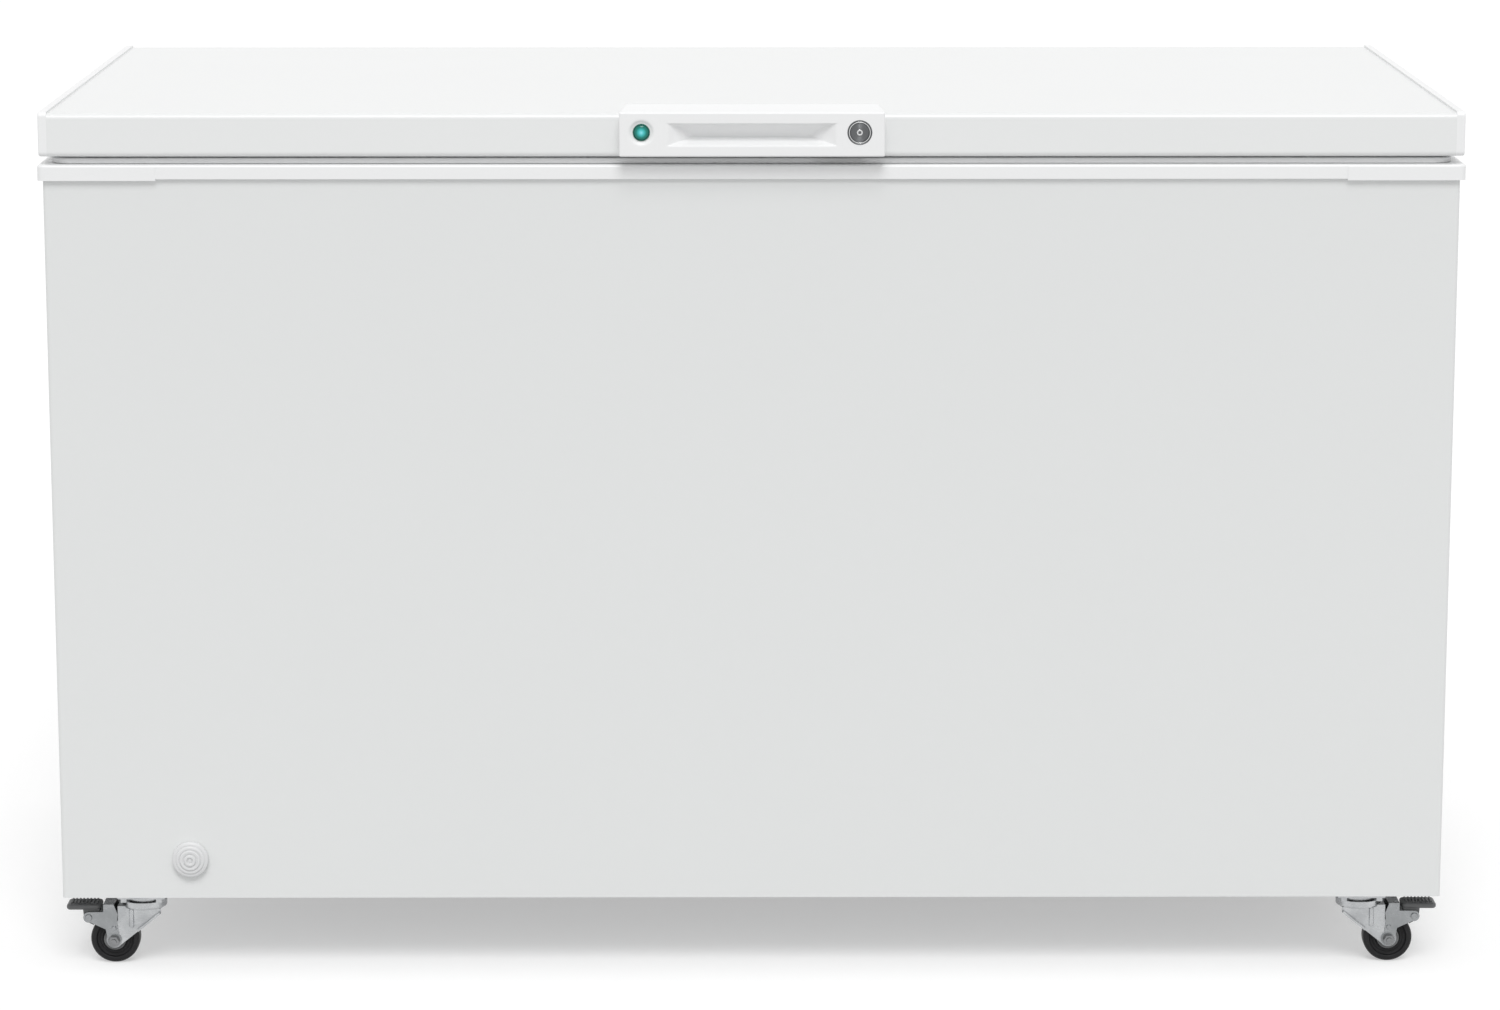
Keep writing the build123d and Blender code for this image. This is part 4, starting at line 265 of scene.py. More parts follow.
def bump_from(tree, shader, height, strength, distance):
    """A Bump node between a height and the shader's normal."""
    bump = tree.nodes.new("ShaderNodeBump")
    bump.inputs["Strength"].default_value = strength
    bump.inputs["Distance"].default_value = distance
    tree.links.new(height, bump.inputs["Height"])
    tree.links.new(bump.outputs["Normal"], shader.inputs["Normal"])


FINISH = {}
print("slots with a finish so far:", len(FINISH))


# %% [markdown]
# ### The skin recipe
#
# Paint and mouldings take two close colours and a roughness, then the numbers of their grain: its size, how
# far it moves the roughness, and how deep it is. Enamel also has a clear coat.

# %% Skin recipe
def skin(
    name, colour, other, roughness, size=700.0, spread=0.08, depth=0.00002, coat=0.0, tone_size=5.0, shine=0.5
):
    """A coated or moulded finish: slow tone for its colour, grain for its roughness and bump."""
    finish, tree, shader = start_finish(name)
    tone = place_group(tree, slow_tone, Colour=(*colour, 1), Other=(*other, 1), Size=tone_size)
    grain = place_group(tree, skin_grain, Size=size, Roughness=roughness, Spread=spread)
    tree.links.new(tone.outputs["Colour"], shader.inputs["Base Color"])
    tree.links.new(grain.outputs["Roughness"], shader.inputs["Roughness"])
    bump_from(tree, shader, grain.outputs["Height"], strength=0.5, distance=depth)
    shader.inputs["Coat Weight"].default_value = coat
    shader.inputs["Specular IOR Level"].default_value = shine
    return finish


print("recipe:", skin.__name__)


# %% [markdown]
# ### The metal recipe
#
# Metal has no colour under its shine, so its two colours tint the reflection itself. The drawn lines and the
# dull patches keep it from looking like a mirror.

# %% Metal recipe
def metal(name, colour, dull, roughness, spread=0.2, depth=0.00003):
    """A bare or plated metal: drawn lines and dull patches."""
    finish, tree, shader = start_finish(name)
    lines = place_group(
        tree, drawn_lines, Colour=(*colour, 1), Dull=(*dull, 1), Roughness=roughness, Spread=spread
    )
    tree.links.new(lines.outputs["Colour"], shader.inputs["Base Color"])
    tree.links.new(lines.outputs["Roughness"], shader.inputs["Roughness"])
    shader.inputs["Metallic"].default_value = 1.0
    bump_from(tree, shader, lines.outputs["Height"], strength=0.4, distance=depth)
    return finish


print("recipe:", metal.__name__)

# %% [markdown]
# ### Whites and pale greys
#
# Pure white clips under a lamp and then shows no shape, so every white here stays a little under it. The
# enamel and the mouldings differ by some hundredths, as they do on the real thing.

# %% Pale finishes
FINISH["white_paint"] = skin(
    "satin_enamel", (0.825, 0.835, 0.833), (0.815, 0.825, 0.823), 0.34, size=900, spread=0.06, coat=0.3
)
FINISH["panel_steel"] = skin(
    "coated_sheet", (0.72, 0.73, 0.735), (0.68, 0.69, 0.7), 0.45, size=500, spread=0.1
)
FINISH["white_plastic"] = skin(
    "white_moulding", (0.885, 0.89, 0.89), (0.87, 0.875, 0.88), 0.3, size=1100, spread=0.05
)
FINISH["liner_plastic"] = skin(
    "pebbled_liner", (0.83, 0.84, 0.85), (0.8, 0.815, 0.83), 0.38, size=320, spread=0.1, depth=0.0003
)
FINISH["foam"] = skin(
    "rigid_foam", (0.82, 0.74, 0.52), (0.72, 0.62, 0.4), 0.9,
    size=260, spread=0.1, depth=0.0008, tone_size=30,
)
FINISH["seal_rubber"] = skin(
    "seal_grey", (0.84, 0.845, 0.85), (0.8, 0.805, 0.81), 0.55, size=800, spread=0.1
)
FINISH["grey_plastic"] = skin("grey_pipe", (0.52, 0.53, 0.54), (0.46, 0.47, 0.48), 0.45, size=600)
FINISH["coated_wire"] = skin(
    "coated_wire", (0.84, 0.845, 0.85), (0.8, 0.81, 0.82), 0.35, size=900, tone_size=20
)
CABINET_PAINT = skin(
    "cabinet_enamel", (0.782, 0.794, 0.791), (0.772, 0.784, 0.781), 0.36, size=900, spread=0.06, coat=0.12
)
CAP_WHITE = skin(
    "cap_white", (0.74, 0.745, 0.75), (0.71, 0.715, 0.72), 0.34, size=900, spread=0.06, tone_size=30
)
print("pale finishes by slot:", len(FINISH))

# %% [markdown]
# ### Blacks
#
# Black enamel, rubber and black plastic are told apart by gloss: the compressor shines, the mounts are dull,
# and the pedals lie between. None is quite black, as nothing real is.

# %% Dark finishes
FINISH["black_enamel"] = skin(
    "black_enamel", (0.018, 0.018, 0.02), (0.03, 0.03, 0.032), 0.3, size=500, spread=0.12, coat=0.3
)
FINISH["black_rubber"] = skin("mount_rubber", (0.02, 0.02, 0.021), (0.035, 0.035, 0.036), 0.7, spread=0.12)
FINISH["black_plastic"] = skin(
    "pedal_plastic", (0.12, 0.123, 0.124), (0.15, 0.153, 0.154), 0.45, size=900, spread=0.12, depth=0.00005
)
FINISH["wheel_rubber"] = skin(
    "tyre_black", (0.008, 0.008, 0.009), (0.018, 0.018, 0.019), 0.42,
    size=600, spread=0.2, depth=0.00006, tone_size=60, shine=0.25,
)
WHEEL_HUB = skin(
    "hub_grey", (0.14, 0.143, 0.145), (0.2, 0.203, 0.205), 0.32, size=800, spread=0.12, tone_size=80
)
print("dark finishes:", FINISH["black_enamel"].name, "to", WHEEL_HUB.name)

# %% [markdown]
# ### Metals
#
# The casters are zinc plate, the brake's bracket a darker one, and the lock's turned face is darker still.
# Each is the metal recipe with its own two greys.

# %% Metal finishes
FINISH["zinc_steel"] = metal("zinc_plate", (0.62, 0.63, 0.64), (0.3, 0.31, 0.32), 0.28, spread=0.3)
FINISH["spring_steel"] = metal("oiled_spring", (0.34, 0.34, 0.35), (0.2, 0.2, 0.21), 0.35)
FINISH["copper"] = metal("drawn_copper", (0.8, 0.42, 0.27), (0.5, 0.25, 0.17), 0.32)
FINISH["coil_aluminium"] = metal("plain_aluminium", (0.8, 0.81, 0.82), (0.65, 0.66, 0.67), 0.4)
# The lock's dark metal is also used on the collar round the lock, where it is painted shade for the gap.
FINISH["lock_chrome"] = metal("turned_lock_and_gap_shade", (0.16, 0.165, 0.17), (0.1, 0.103, 0.106), 0.36, spread=0.15)
BRACKET_STEEL = metal("bracket_plate", (0.4, 0.41, 0.42), (0.22, 0.23, 0.235), 0.3, spread=0.25)
HINGE_STEEL = metal("hinge_plate", (0.52, 0.525, 0.53), (0.42, 0.425, 0.43), 0.34, spread=0.15)
AXLE_STEEL = metal("axle_bolt", (0.3, 0.305, 0.31), (0.18, 0.184, 0.188), 0.25, spread=0.15)
LOCK_RIM = metal("bright_rim", (0.72, 0.725, 0.73), (0.5, 0.505, 0.51), 0.2, spread=0.1)
print("finishes by slot:", len(FINISH))


# %% [markdown]
# ## The indicator's green glass
#
# The real lens is a green moulding with a lamp behind its middle, so it glows and is deep green at its
# edge. A colour ramp over the distance from the lens's own axis gives that; its pale cyan centre is a painted
# highlight of the dome's shine. A little of the same ramp goes to the emission, so that it reads as lit in any
# light.

# %% Lens material
# The first, pale cyan step is a painted highlight; the later steps are the lens's own greens.
LENS_GREENS_AND_PAINTED_HIGHLIGHT = [
    (0.0, (0.24, 0.72, 0.8)),
    (0.3, (0.05, 0.48, 0.48)),
    (0.58, (0.0, 0.2, 0.16)),
    (0.88, (0.0, 0.1, 0.075)),
]
LENS_LOOK = {"Emission Strength": 0.12, "Roughness": 0.1, "Specular IOR Level": 0.3, "Coat Weight": 0.2}
ALONG_AXIS = 1000.0  # so long a scale along the lens's axis leaves only the distance across it


def lens_finish(centre, radius):
    """Distance from the lens's axis, as a share of its radius, through a ramp of greens with a painted highlight
    at its centre.
    """
    finish, tree, shader = start_finish("green_glow_and_painted_highlight")
    place = tree.nodes.new("ShaderNodeTexCoord").outputs["Object"]
    mapping = tree.nodes.new("ShaderNodeMapping")
    mapping.vector_type = "TEXTURE"
    mapping.inputs["Location"].default_value = centre
    mapping.inputs["Scale"].default_value = (radius, ALONG_AXIS, radius)
    tree.links.new(place, mapping.inputs["Vector"])
    length = tree.nodes.new("ShaderNodeVectorMath")
    length.operation = "LENGTH"
    tree.links.new(mapping.outputs["Vector"], length.inputs[0])
    ramp = tree.nodes.new("ShaderNodeValToRGB")
    while len(ramp.color_ramp.elements) < len(LENS_GREENS_AND_PAINTED_HIGHLIGHT):
        ramp.color_ramp.elements.new(0.5)
    for element, (share, colour) in zip(ramp.color_ramp.elements, LENS_GREENS_AND_PAINTED_HIGHLIGHT):
        element.position = share
        element.color = (*colour, 1)
    tree.links.new(length.outputs["Value"], ramp.inputs["Fac"])
    tree.links.new(ramp.outputs["Color"], shader.inputs["Base Color"])
    tree.links.new(ramp.outputs["Color"], shader.inputs["Emission Color"])
    for socket, value in LENS_LOOK.items():
        shader.inputs[socket].default_value = value
    return finish


lens_low, lens_high = (np.array(corner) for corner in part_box("indicator_lens"))
LENS_MID = (lens_low + lens_high) / 2
FINISH["green_lens"] = lens_finish(tuple(LENS_MID), (lens_high - lens_low)[0] / 2)
print("lens centre:", LENS_MID.round(4))

# %% [markdown]
# ## Dressing the CAD nodes
#
# Every node carries the name of its material slot in the record, so one loop gives each its finish, and a
# few nodes then get a finish of their own. Nodes that a new piece stands for are hidden later.

# %% Finishes onto nodes
slot_of = {row["node"]: row["material_slot"] for row in frame["record"]["subparts"]}
own_finish = {"outer_shell": CABINET_PAINT, "hinge_bases": HINGE_STEEL, "hinge_leaves": HINGE_STEEL}
own_finish |= {f"caster_axle_{corner}": AXLE_STEEL for corner in CORNERS}
own_finish |= {f"brake_bracket_{corner}": BRACKET_STEEL for corner in CORNERS[:2]}
for node, piece in nodes.items():
    piece.data.materials.clear()
    piece.data.materials.append(own_finish.get(node, FINISH[slot_of[node]]))
print("dressed nodes:", len(slot_of), "with a finish of their own:", len(own_finish))


# %% [markdown]
# ## Surfaces from arrays
#
# Almost every new piece is a grid: rows of points that run along the piece and columns that run round it.
# Whole arrays give the points at once, so a finer piece costs a bigger number and not a longer script.

# %% Grids
def box_mm(node):
    """The low and the high corner of a node's box, in millimetres."""
    return (np.array(corner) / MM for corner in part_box(node))


def quads_of(rows, columns, close_rows=False, close_columns=False):
    """Four corner numbers for each cell of a grid, joined round where a direction is closed."""
    first_row = np.arange(rows if close_rows else rows - 1)
    first_column = np.arange(columns if close_columns else columns - 1)
    row, column = np.meshgrid(first_row, first_column, indexing="ij")
    next_row = (row + 1) % rows
    next_column = (column + 1) % columns
    corners = [(row, column), (next_row, column), (next_row, next_column), (row, next_column)]
    return np.stack([r * columns + c for r, c in corners], -1).reshape(-1, 4)


print("a grid of 3 by 4 points has", len(quads_of(3, 4)), "cells")


# %% [markdown]
# ### From arrays to a mesh
#
# foreach_set hands a whole array to Blender in one go. Doubled points at a pole or a seam are merged
# afterwards, edges that have shrunk to nothing go, and the faces are turned outwards.

# %% Meshes
SAME_POINT = 2e-6
NO_EDGE = 1e-6


def mesh_of(name, parts):
    """One mesh from a list of (points in millimetres, quads): joined, merged and turned outwards."""
    starts = np.cumsum([0] + [len(points) for points, _ in parts[:-1]])
    points = np.concatenate([points for points, _ in parts]) * MM
    quads = np.concatenate([quads + start for (_, quads), start in zip(parts, starts)])
    mesh = bpy.data.meshes.new(name)
    mesh.vertices.add(len(points))
    mesh.vertices.foreach_set("co", points.astype(np.float32).ravel())
    mesh.loops.add(quads.size)
    mesh.loops.foreach_set("vertex_index", quads.astype(np.int32).ravel())
    mesh.polygons.add(len(quads))
    mesh.polygons.foreach_set("loop_start", np.arange(0, quads.size, 4, dtype=np.int32))
    mesh.update(calc_edges=True)
    work = bmesh.new()
    work.from_mesh(mesh)
    bmesh.ops.remove_doubles(work, verts=work.verts, dist=SAME_POINT)
    bmesh.ops.dissolve_degenerate(work, edges=work.edges, dist=NO_EDGE)
    bmesh.ops.recalc_face_normals(work, faces=work.faces)
    work.to_mesh(mesh)
    work.free()
    return mesh


print("points closer than", SAME_POINT, "m are merged")


# %% [markdown]
# ### From a mesh to a piece
#
# A finished piece is smooth, with edges sharper than a set angle kept crisp. It rides on the body that it
# moves with, and may stand for a CAD node, which is then hidden.

# %% Pieces
def new_piece(name, parts, body, slot, finish, stands_for=(), crisp=35.0):
    """A smooth object with its finish, on its body, in place of the nodes that it stands for."""
    mesh = mesh_of(name, parts)
    mesh.shade_smooth()
    mesh.set_sharp_from_angle(angle=math.radians(crisp))
    mesh.materials.append(finish)
    piece = bpy.data.objects.new(name, mesh)
    bpy.context.scene.collection.objects.link(piece)
    if body:
        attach(piece, body)
    if stands_for:
        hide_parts(*stands_for)
    print(name, "points:", len(mesh.vertices))
    return piece


print("helper:", new_piece.__name__)


# %% [markdown]
# ## The handle
#
# The handle is one white moulding over the lid's front edge. Its finger recess is a hipped hollow with
# softly rolled edges, and the lens sits in a shallow dish. A block with a cut would have hard rims, so the
# front is a grid whose depth is a formula: a soft least of three slopes, which fades to zero outside the
# opening.

# %% Depth of the handle's front
handle_low, handle_high = box_mm("handle")
LENS_X, LENS_Z = LENS_MID[0] / MM, LENS_MID[2] / MM
LOCK_X = (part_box("lock_bezel")[0][0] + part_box("lock_bezel")[1][0]) / 2 / MM
RECESS = {"half": 82.5, "low": 844.0, "high": 866.0, "ridge": 850.5, "ridge_half": 59.0, "depth": 18.5}
RECESS_SOFT = {"hips": 0.035, "rim": 0.05, "reach": 6}
HOOD_SHARE = 0.65
LENS_DISH = {"half_depth": 1.1, "radius": 11.0, "soft": 1.4}
LOCK_SEAT = {"half_depth": 1.7, "radius": 11.4, "soft": 0.24}


def soft_least(values, softness):
    """A rounded minimum of several arrays: minus the log of the sum of falling exponentials."""
    return -softness * np.log(sum(np.exp(-value / softness) for value in values))


def round_dip(x, z, middle_x, dip):
    """A round hollow at the lens's height: a smooth step down at its radius, as a hyperbolic tangent."""
    distance = np.hypot(x - middle_x, z - LENS_Z)
    return dip["half_depth"] * (1 - np.tanh((distance - dip["radius"]) / dip["soft"]))


def handle_depth(x, z):
    """How far the front lies behind its flat: the hipped recess, the lens's dish and the lock's seat."""
    drop = (RECESS["high"] - z) / (RECESS["high"] - RECESS["ridge"])
    fall = np.clip(drop, -1, 1)
    hood = np.sign(fall) * np.sqrt(1 - (1 - np.abs(fall)) ** 2)
    slopes = [
        (1 - HOOD_SHARE) * drop + HOOD_SHARE * hood,
        (z - RECESS["low"]) / (RECESS["ridge"] - RECESS["low"]),
        (RECESS["half"] - np.abs(x)) / (RECESS["half"] - RECESS["ridge_half"]),
    ]
    share = soft_least(slopes, RECESS_SOFT["hips"])
    hollow = RECESS["depth"] * 0.5 * (share + np.sqrt(share**2 + RECESS_SOFT["rim"] ** 2))
    hollow = np.where(np.abs(x) < RECESS["half"] + RECESS_SOFT["reach"], hollow, 0)
    return hollow + round_dip(x, z, LENS_X, LENS_DISH) + round_dip(x, z, LOCK_X, LOCK_SEAT)


print("recess depth at its ridge:", handle_depth(np.array([0.0]), np.array([RECESS["ridge"]])).round(2))


# %% [markdown]
# ### The handle's section
#
# Seen from its end the handle is a hook: a tall front, a brow that falls back over the lid, and a step that
# sits on the lid's edge. The section is drawn once as a closed line of points, each with the direction in
# which it draws in towards the handle's rounded ends.

# %% Handle section
FACE_Y, BACK_Y = handle_low[1], handle_high[1]
BOTTOM, CREST = handle_low[2], handle_high[2]
lid_low, lid_high = box_mm("lid_panel")
LID_Y, LID_TOP = lid_low[1], lid_high[2]
BROW_RISE = 3.5
FACE_TOP = LID_TOP + BROW_RISE
EDGE = 1.8
BACK_EDGE = {"in": 1.0, "top": 0.4, "down": 1.6}
STEP_EDGE = 1.0
FRONT_ROWS = 112


def arc(centre, radius, start, end, steps):
    """Points on a circle in a plane, from one angle to another, in degrees."""
    angle = np.radians(np.linspace(start, end, steps))
    return np.stack([centre[0] + radius * np.cos(angle), centre[1] + radius * np.sin(angle)], -1)


front_z = np.linspace(BOTTOM + EDGE, FACE_TOP - EDGE, FRONT_ROWS)
front = np.stack([np.full_like(front_z, FACE_Y), front_z], -1)
brow_mid = (FACE_Y + EDGE, FACE_TOP - EDGE)
chin_mid = (FACE_Y + EDGE, BOTTOM + EDGE)
slope = math.degrees(math.atan2(CREST - FACE_TOP, BACK_Y - FACE_Y))
brow = arc(brow_mid, EDGE, 180, 90 + slope, 7)[1:]
crest = np.linspace(brow[-1], (BACK_Y - BACK_EDGE["in"], CREST - BACK_EDGE["top"]), 8)[1:]
behind = np.array(
    [(BACK_Y, CREST - BACK_EDGE["down"]), (BACK_Y, LID_TOP), (LID_Y, LID_TOP), (LID_Y, BOTTOM + STEP_EDGE)]
)
below = np.linspace((LID_Y - STEP_EDGE, BOTTOM), (FACE_Y + EDGE, BOTTOM), 6)
chin = arc(chin_mid, EDGE, 270, 180, 7)[1:-1]
section = np.concatenate([front, brow, crest, behind, below, chin])
outward = np.concatenate(
    [
        np.tile((-1.0, 0.0), (len(front), 1)),
        (brow - brow_mid) / EDGE,
        np.tile((0.0, 1.0), (len(crest), 1)),
        np.zeros_like(behind),
        np.tile((0.0, -1.0), (len(below), 1)),
        (chin - chin_mid) / EDGE,
    ]
)
print("section points:", len(section))


# %% [markdown]
# ### The handle's surface
#
# The section is carried along the handle's width. Near both ends it draws in along a quarter circle, which
# rounds them, and the brow grows narrower towards the back. The depth formula then pushes the front in.

# %% Handle surface
HALF_WIDTH = handle_high[0]
END_TAPER = 6.0
TAPER_FROM = 0.5
FRONT_COLUMNS = 436


def capped(rings):
    """A grid of rings, each end drawn together to its middle so that the piece is closed."""
    ends = [np.repeat(rings[[end]].mean(1, keepdims=True), rings.shape[1], axis=1) for end in (0, -1)]
    rings = np.concatenate([ends[0], rings, ends[1]])
    return rings.reshape(-1, 3), quads_of(len(rings), rings.shape[1], close_columns=True)


end_angle = np.radians(np.linspace(90, 0, 7))
end_x = HALF_WIDTH - EDGE + EDGE * np.cos(end_angle)
end_inset = EDGE * (1 - np.sin(end_angle))
inner_x = np.linspace(-HALF_WIDTH + EDGE, HALF_WIDTH - EDGE, FRONT_COLUMNS)
along_x = np.concatenate([-end_x[::-1], inner_x[1:-1], end_x])
inset = np.concatenate([end_inset[::-1], np.zeros(len(inner_x) - 2), end_inset])
drawn_in = section[None] - outward[None] * inset[:, None, None]
back_share = np.clip((section[:, 0] - FACE_Y - EDGE) / (BACK_Y - FACE_Y), 0, 1)
taper = np.where(section[:, 1] > LID_TOP + TAPER_FROM, back_share, 0)
grid_x = along_x[:, None] * (1 - END_TAPER / HALF_WIDTH * taper[None])
on_front = np.arange(len(section)) < len(front)
depth = np.where(on_front, handle_depth(along_x[:, None], section[None, :, 1]), 0)
surface = np.stack([grid_x, drawn_in[..., 0] + depth, drawn_in[..., 1]], -1)
new_piece(
    "handle_moulding", [capped(surface)], "lid", "white_plastic", FINISH["white_plastic"], ["handle"]
)


# %% [markdown]
# ## The indicator lens
#
# The lens is lathe work: a dome in a dark ring. A lathe outline is a list of radius and distance, so the
# small steps that catch the light cost one pair of numbers each.

# %% Lens pieces
DOME = {"share": 0.86, "rise": 2.2, "back": 10.0}
lens_r = (lens_high - lens_low)[0] / 2 / MM
lens_centre = (LENS_X, lens_low[1] / MM, LENS_Z)
RING_STEPS = [(0.84, 8), (0.84, 2.2), (0.88, 1.6), (0.96, 1.7), (1.0, 2.4), (1.0, 8)]
LENS_RING = skin(
    "lens_ring", (0.0, 0.09, 0.06), (0.0, 0.12, 0.09), 0.2, size=800, spread=0.05, tone_size=90
)


def turned(outline, centre, steps=96):
    """A lathe shape: each outline point (radius, distance to the back) runs once round the y axis."""
    outline = np.asarray(outline, float)
    angle = np.linspace(0, 2 * np.pi, steps, endpoint=False)
    across = outline[:, :1] * np.cos(angle)
    up = outline[:, :1] * np.sin(angle)
    along = np.repeat(outline[:, 1:], steps, axis=1)
    points = np.stack([across, along, up], -1).reshape(-1, 3) + np.asarray(centre, float)
    return points, quads_of(len(outline), steps, close_columns=True)


dome_r = lens_r * DOME["share"]
swing = np.linspace(0, np.pi / 2, 12)
dome = np.stack([dome_r * np.sin(swing), DOME["rise"] * (1 - np.cos(swing))], -1)
lens_outline = np.concatenate([dome, [(dome_r, DOME["back"]), (0, DOME["back"])]])
ring_outline = np.array(RING_STEPS) * (lens_r, 1)
lens_turned = turned(lens_outline, lens_centre)
new_piece("lens_dome", [lens_turned], "lid", "green_lens", FINISH["green_lens"], ["indicator_lens"])
new_piece("lens_ring", [turned(ring_outline, lens_centre)], "lid", "green_lens", LENS_RING)

# %% [markdown]
# ## The key lock
#
# The lock is turned too: a bright ring in a dark collar, and a key barrel with fine turning rings round a
# small pin. The collar's dark metal is painted shade, standing for the gap round the lock. The turning rings
# are a cosine over the radius. Barrel and pin ride on the lock's own body, so they turn with the key.

# %% Lock pieces
TURNING = {"from": 3.6, "to": 9.0, "rings": 40, "level": 0.62, "height": 0.09, "pitch": 0.9}
lock_centre = (LOCK_X, FACE_Y, LENS_Z)
bezel_outline = [
    (9.75, 6), (9.75, 0.1), (9.9, -0.35), (10.3, -0.5), (10.7, -0.35), (10.85, 0.2), (10.85, 6),
]
gap_shade_collar_outline = [
    (10.9, 6), (10.9, 0.3), (11.1, -0.1), (11.6, -0.35), (12.1, -0.2), (12.4, 0.3), (11.7, 0.4), (11.7, 6),
]
pin_outline = [(1.5, 0.95), (1.6, 0.2), (2.0, 0.0), (2.5, 0.0), (2.9, 0.2), (3.0, 0.95)]
key_well = [(0, 0.9), (2.1, 0.9), (3.1, 0.7)]
barrel_tail = [(9.65, 1.2), (9.65, 19.0), (6.4, 19.0), (6.4, 24.5), (4.4, 24.5), (4.4, 30.5), (0, 30.5)]
ring_r = np.linspace(TURNING["from"], TURNING["to"], TURNING["rings"])
ring_wave = TURNING["level"] + TURNING["height"] * np.cos(ring_r * 2 * np.pi / TURNING["pitch"])
barrel_outline = np.concatenate([key_well, np.stack([ring_r, ring_wave], -1), barrel_tail])
bezel, shade_collar, pin, barrel = (
    [turned(outline, lock_centre)] for outline in (bezel_outline, gap_shade_collar_outline, pin_outline, barrel_outline)
)
DARK_LOCK_AND_GAP_SHADE = FINISH["lock_chrome"]
new_piece("lock_ring", bezel, "lid", "lock_chrome", LOCK_RIM, ["lock_bezel"])
# The collar's dark metal is painted shade, standing for the gap round the lock.
new_piece("lock_collar_painted_gap_shade", shade_collar, "lid", "lock_chrome", DARK_LOCK_AND_GAP_SHADE, ["lock_bezel"])
new_piece("lock_pin_ring", pin, "lock", "lock_chrome", LOCK_RIM)
new_piece("lock_face", barrel, "lock", "lock_chrome", DARK_LOCK_AND_GAP_SHADE, ["lock_barrel"])


# %% [markdown]
# ## The lid's seal
#
# A magnetic seal is a soft hollow strip: a rounded foot on the rim, a folded waist, a thin lip outwards and
# a base in the lid. One closed profile carried round a rounded rectangle gives the whole strip without a
# joint.

# %% Sweep round a rectangle
def rounded_ring(half_x, half_y, corner, steps=10):
    """A rounded rectangle's points and their outward directions, corner by corner, counter-clockwise."""
    angle = np.radians(np.linspace(0, 90, steps))[None] + np.radians([0, 90, 180, 270])[:, None]
    outward = np.stack([np.cos(angle), np.sin(angle)], -1)
    centre = np.array([(1, 1), (-1, 1), (-1, -1), (1, -1)]) * (half_x - corner, half_y - corner)
    points = centre[:, None] + corner * outward
    return points.reshape(-1, 2), outward.reshape(-1, 2)


def ring_sweep(outline, half_x, half_y, corner, middle):
    """A closed profile carried round a rounded rectangle: its points are (outward offset, height)."""
    outline = np.asarray(outline, float)
    path, outward = rounded_ring(half_x, half_y, corner)
    flat = path[None] + outline[:, :1, None] * outward[None] + np.asarray(middle, float)
    height = np.repeat(outline[:, 1:], len(path), axis=1)[..., None]
    points = np.concatenate([flat, height], -1).reshape(-1, 3)
    return points, quads_of(len(outline), len(path), close_rows=True, close_columns=True)


print("points round a rectangle:", len(rounded_ring(2.0, 1.0, 0.5)[0]))

# %% [markdown]
# ### The seal's profile
#
# The profile is drawn from the foot up: arcs for the foot, the waist and the lip, and short straight runs
# for the base. The inner side is the mirrored foot, and the outer side has the lip in its place.

# %% Seal
gasket_low, gasket_high = box_mm("lid_gasket")
seal_mid = (gasket_low + gasket_high) / 2
SEAL_WIDTH = 14.0
half = SEAL_WIDTH / 2
z0, z1 = gasket_low[2], gasket_high[2]
LIP = 5.2
SEAL_CORNER = 8.5
foot = np.concatenate(
    [arc((half - 2, z0 + 2), 2, -90, 90, 9), arc((half - 3.1, z0 + 4.7), 0.7, -90, -270, 7)[1:]]
)
base = np.array([(half - 1.4, z0 + 5.6), (half - 0.2, z0 + 6.3), (half, z1 - 0.3), (half - 0.3, z1)])
lip = np.concatenate(
    [arc((half + LIP - 1, z0 + 1), 1, -90, 0, 5), arc((half + LIP - 1.6, z0 + 3.8), 1.6, 0, 90, 6)]
)
inner_side = np.concatenate([foot, base])
outer_side = np.concatenate([lip, [(half - 2.6, z0 + 5.2)], base])
seal_profile = np.concatenate([outer_side, inner_side[::-1] * (-1, 1)])
seal_half_y = (gasket_high - gasket_low)[1] / 2 - half
seal_part = ring_sweep(seal_profile, gasket_high[0] - half, seal_half_y, SEAL_CORNER, seal_mid[:2])
new_piece("lid_seal", [seal_part], "lid", "seal_rubber", FINISH["seal_rubber"], ["lid_gasket"], crisp=50)

# %% [markdown]
# ## The drain cap
#
# A push-on cap with rings stepped towards its middle. The rounded steps are what the eye sees on it, so the
# outline goes down and up over each ring, then round the cap's edge and back to its hollow stem.

# %% Drain cap
cap_low, cap_high = box_mm("drain_cap")
cap_mid = (cap_low + cap_high) / 2
cap_centre = (cap_mid[0], cap_low[1], cap_mid[2])
cap_r = (cap_high - cap_low)[0] / 2
CAP_ROUND = 2.0
CAP_EDGE = 5.6
cap_steps = [
    (0, 1.1), (1.6, 1.2), (2.2, 1.7), (2.8, 1.6), (3.2, 0.5), (3.7, 0.05), (4.6, 0), (5.4, 0.2), (5.9, 1.0),
    (6.3, 1.9), (6.9, 1.9), (7.3, 1.2), (8.0, 0.95), (9.6, 1.05), (10.2, 1.6), (10.6, 2.7), (11.1, 2.8),
    (11.5, 2.2), (12.2, 2.05), (13.6, 2.2), (14.2, 2.7), (14.6, 3.6), (15.0, 3.7), (15.5, 3.45), (15.9, 3.4),
]
cap_rim = arc((cap_r - CAP_ROUND, CAP_EDGE), CAP_ROUND, -90, 0, 8)
cap_skirt = [(cap_r, 9.7), (16.3, 9.7), (16.3, 7.8)]
cap_stem = [(7.9, 7.8), (7.9, 30), (6.4, 33), (4.9, 33), (4.9, 7.8), (0, 7.8)]
cap_turned = turned(np.concatenate([cap_steps, cap_rim, cap_skirt, cap_stem]), cap_centre)
new_piece("drain_cap_turned", [cap_turned], "drain_cap", "white_plastic", CAP_WHITE, ["drain_cap"])


# %% [markdown]
# ## Wheels
#
# Each wheel is a black moulding: a crowned tread with rounded shoulders, a raised ring at the edge of its
# side, a dished web and a grey bushing. The tyre and the bushing are two lathe outlines on the same axle.

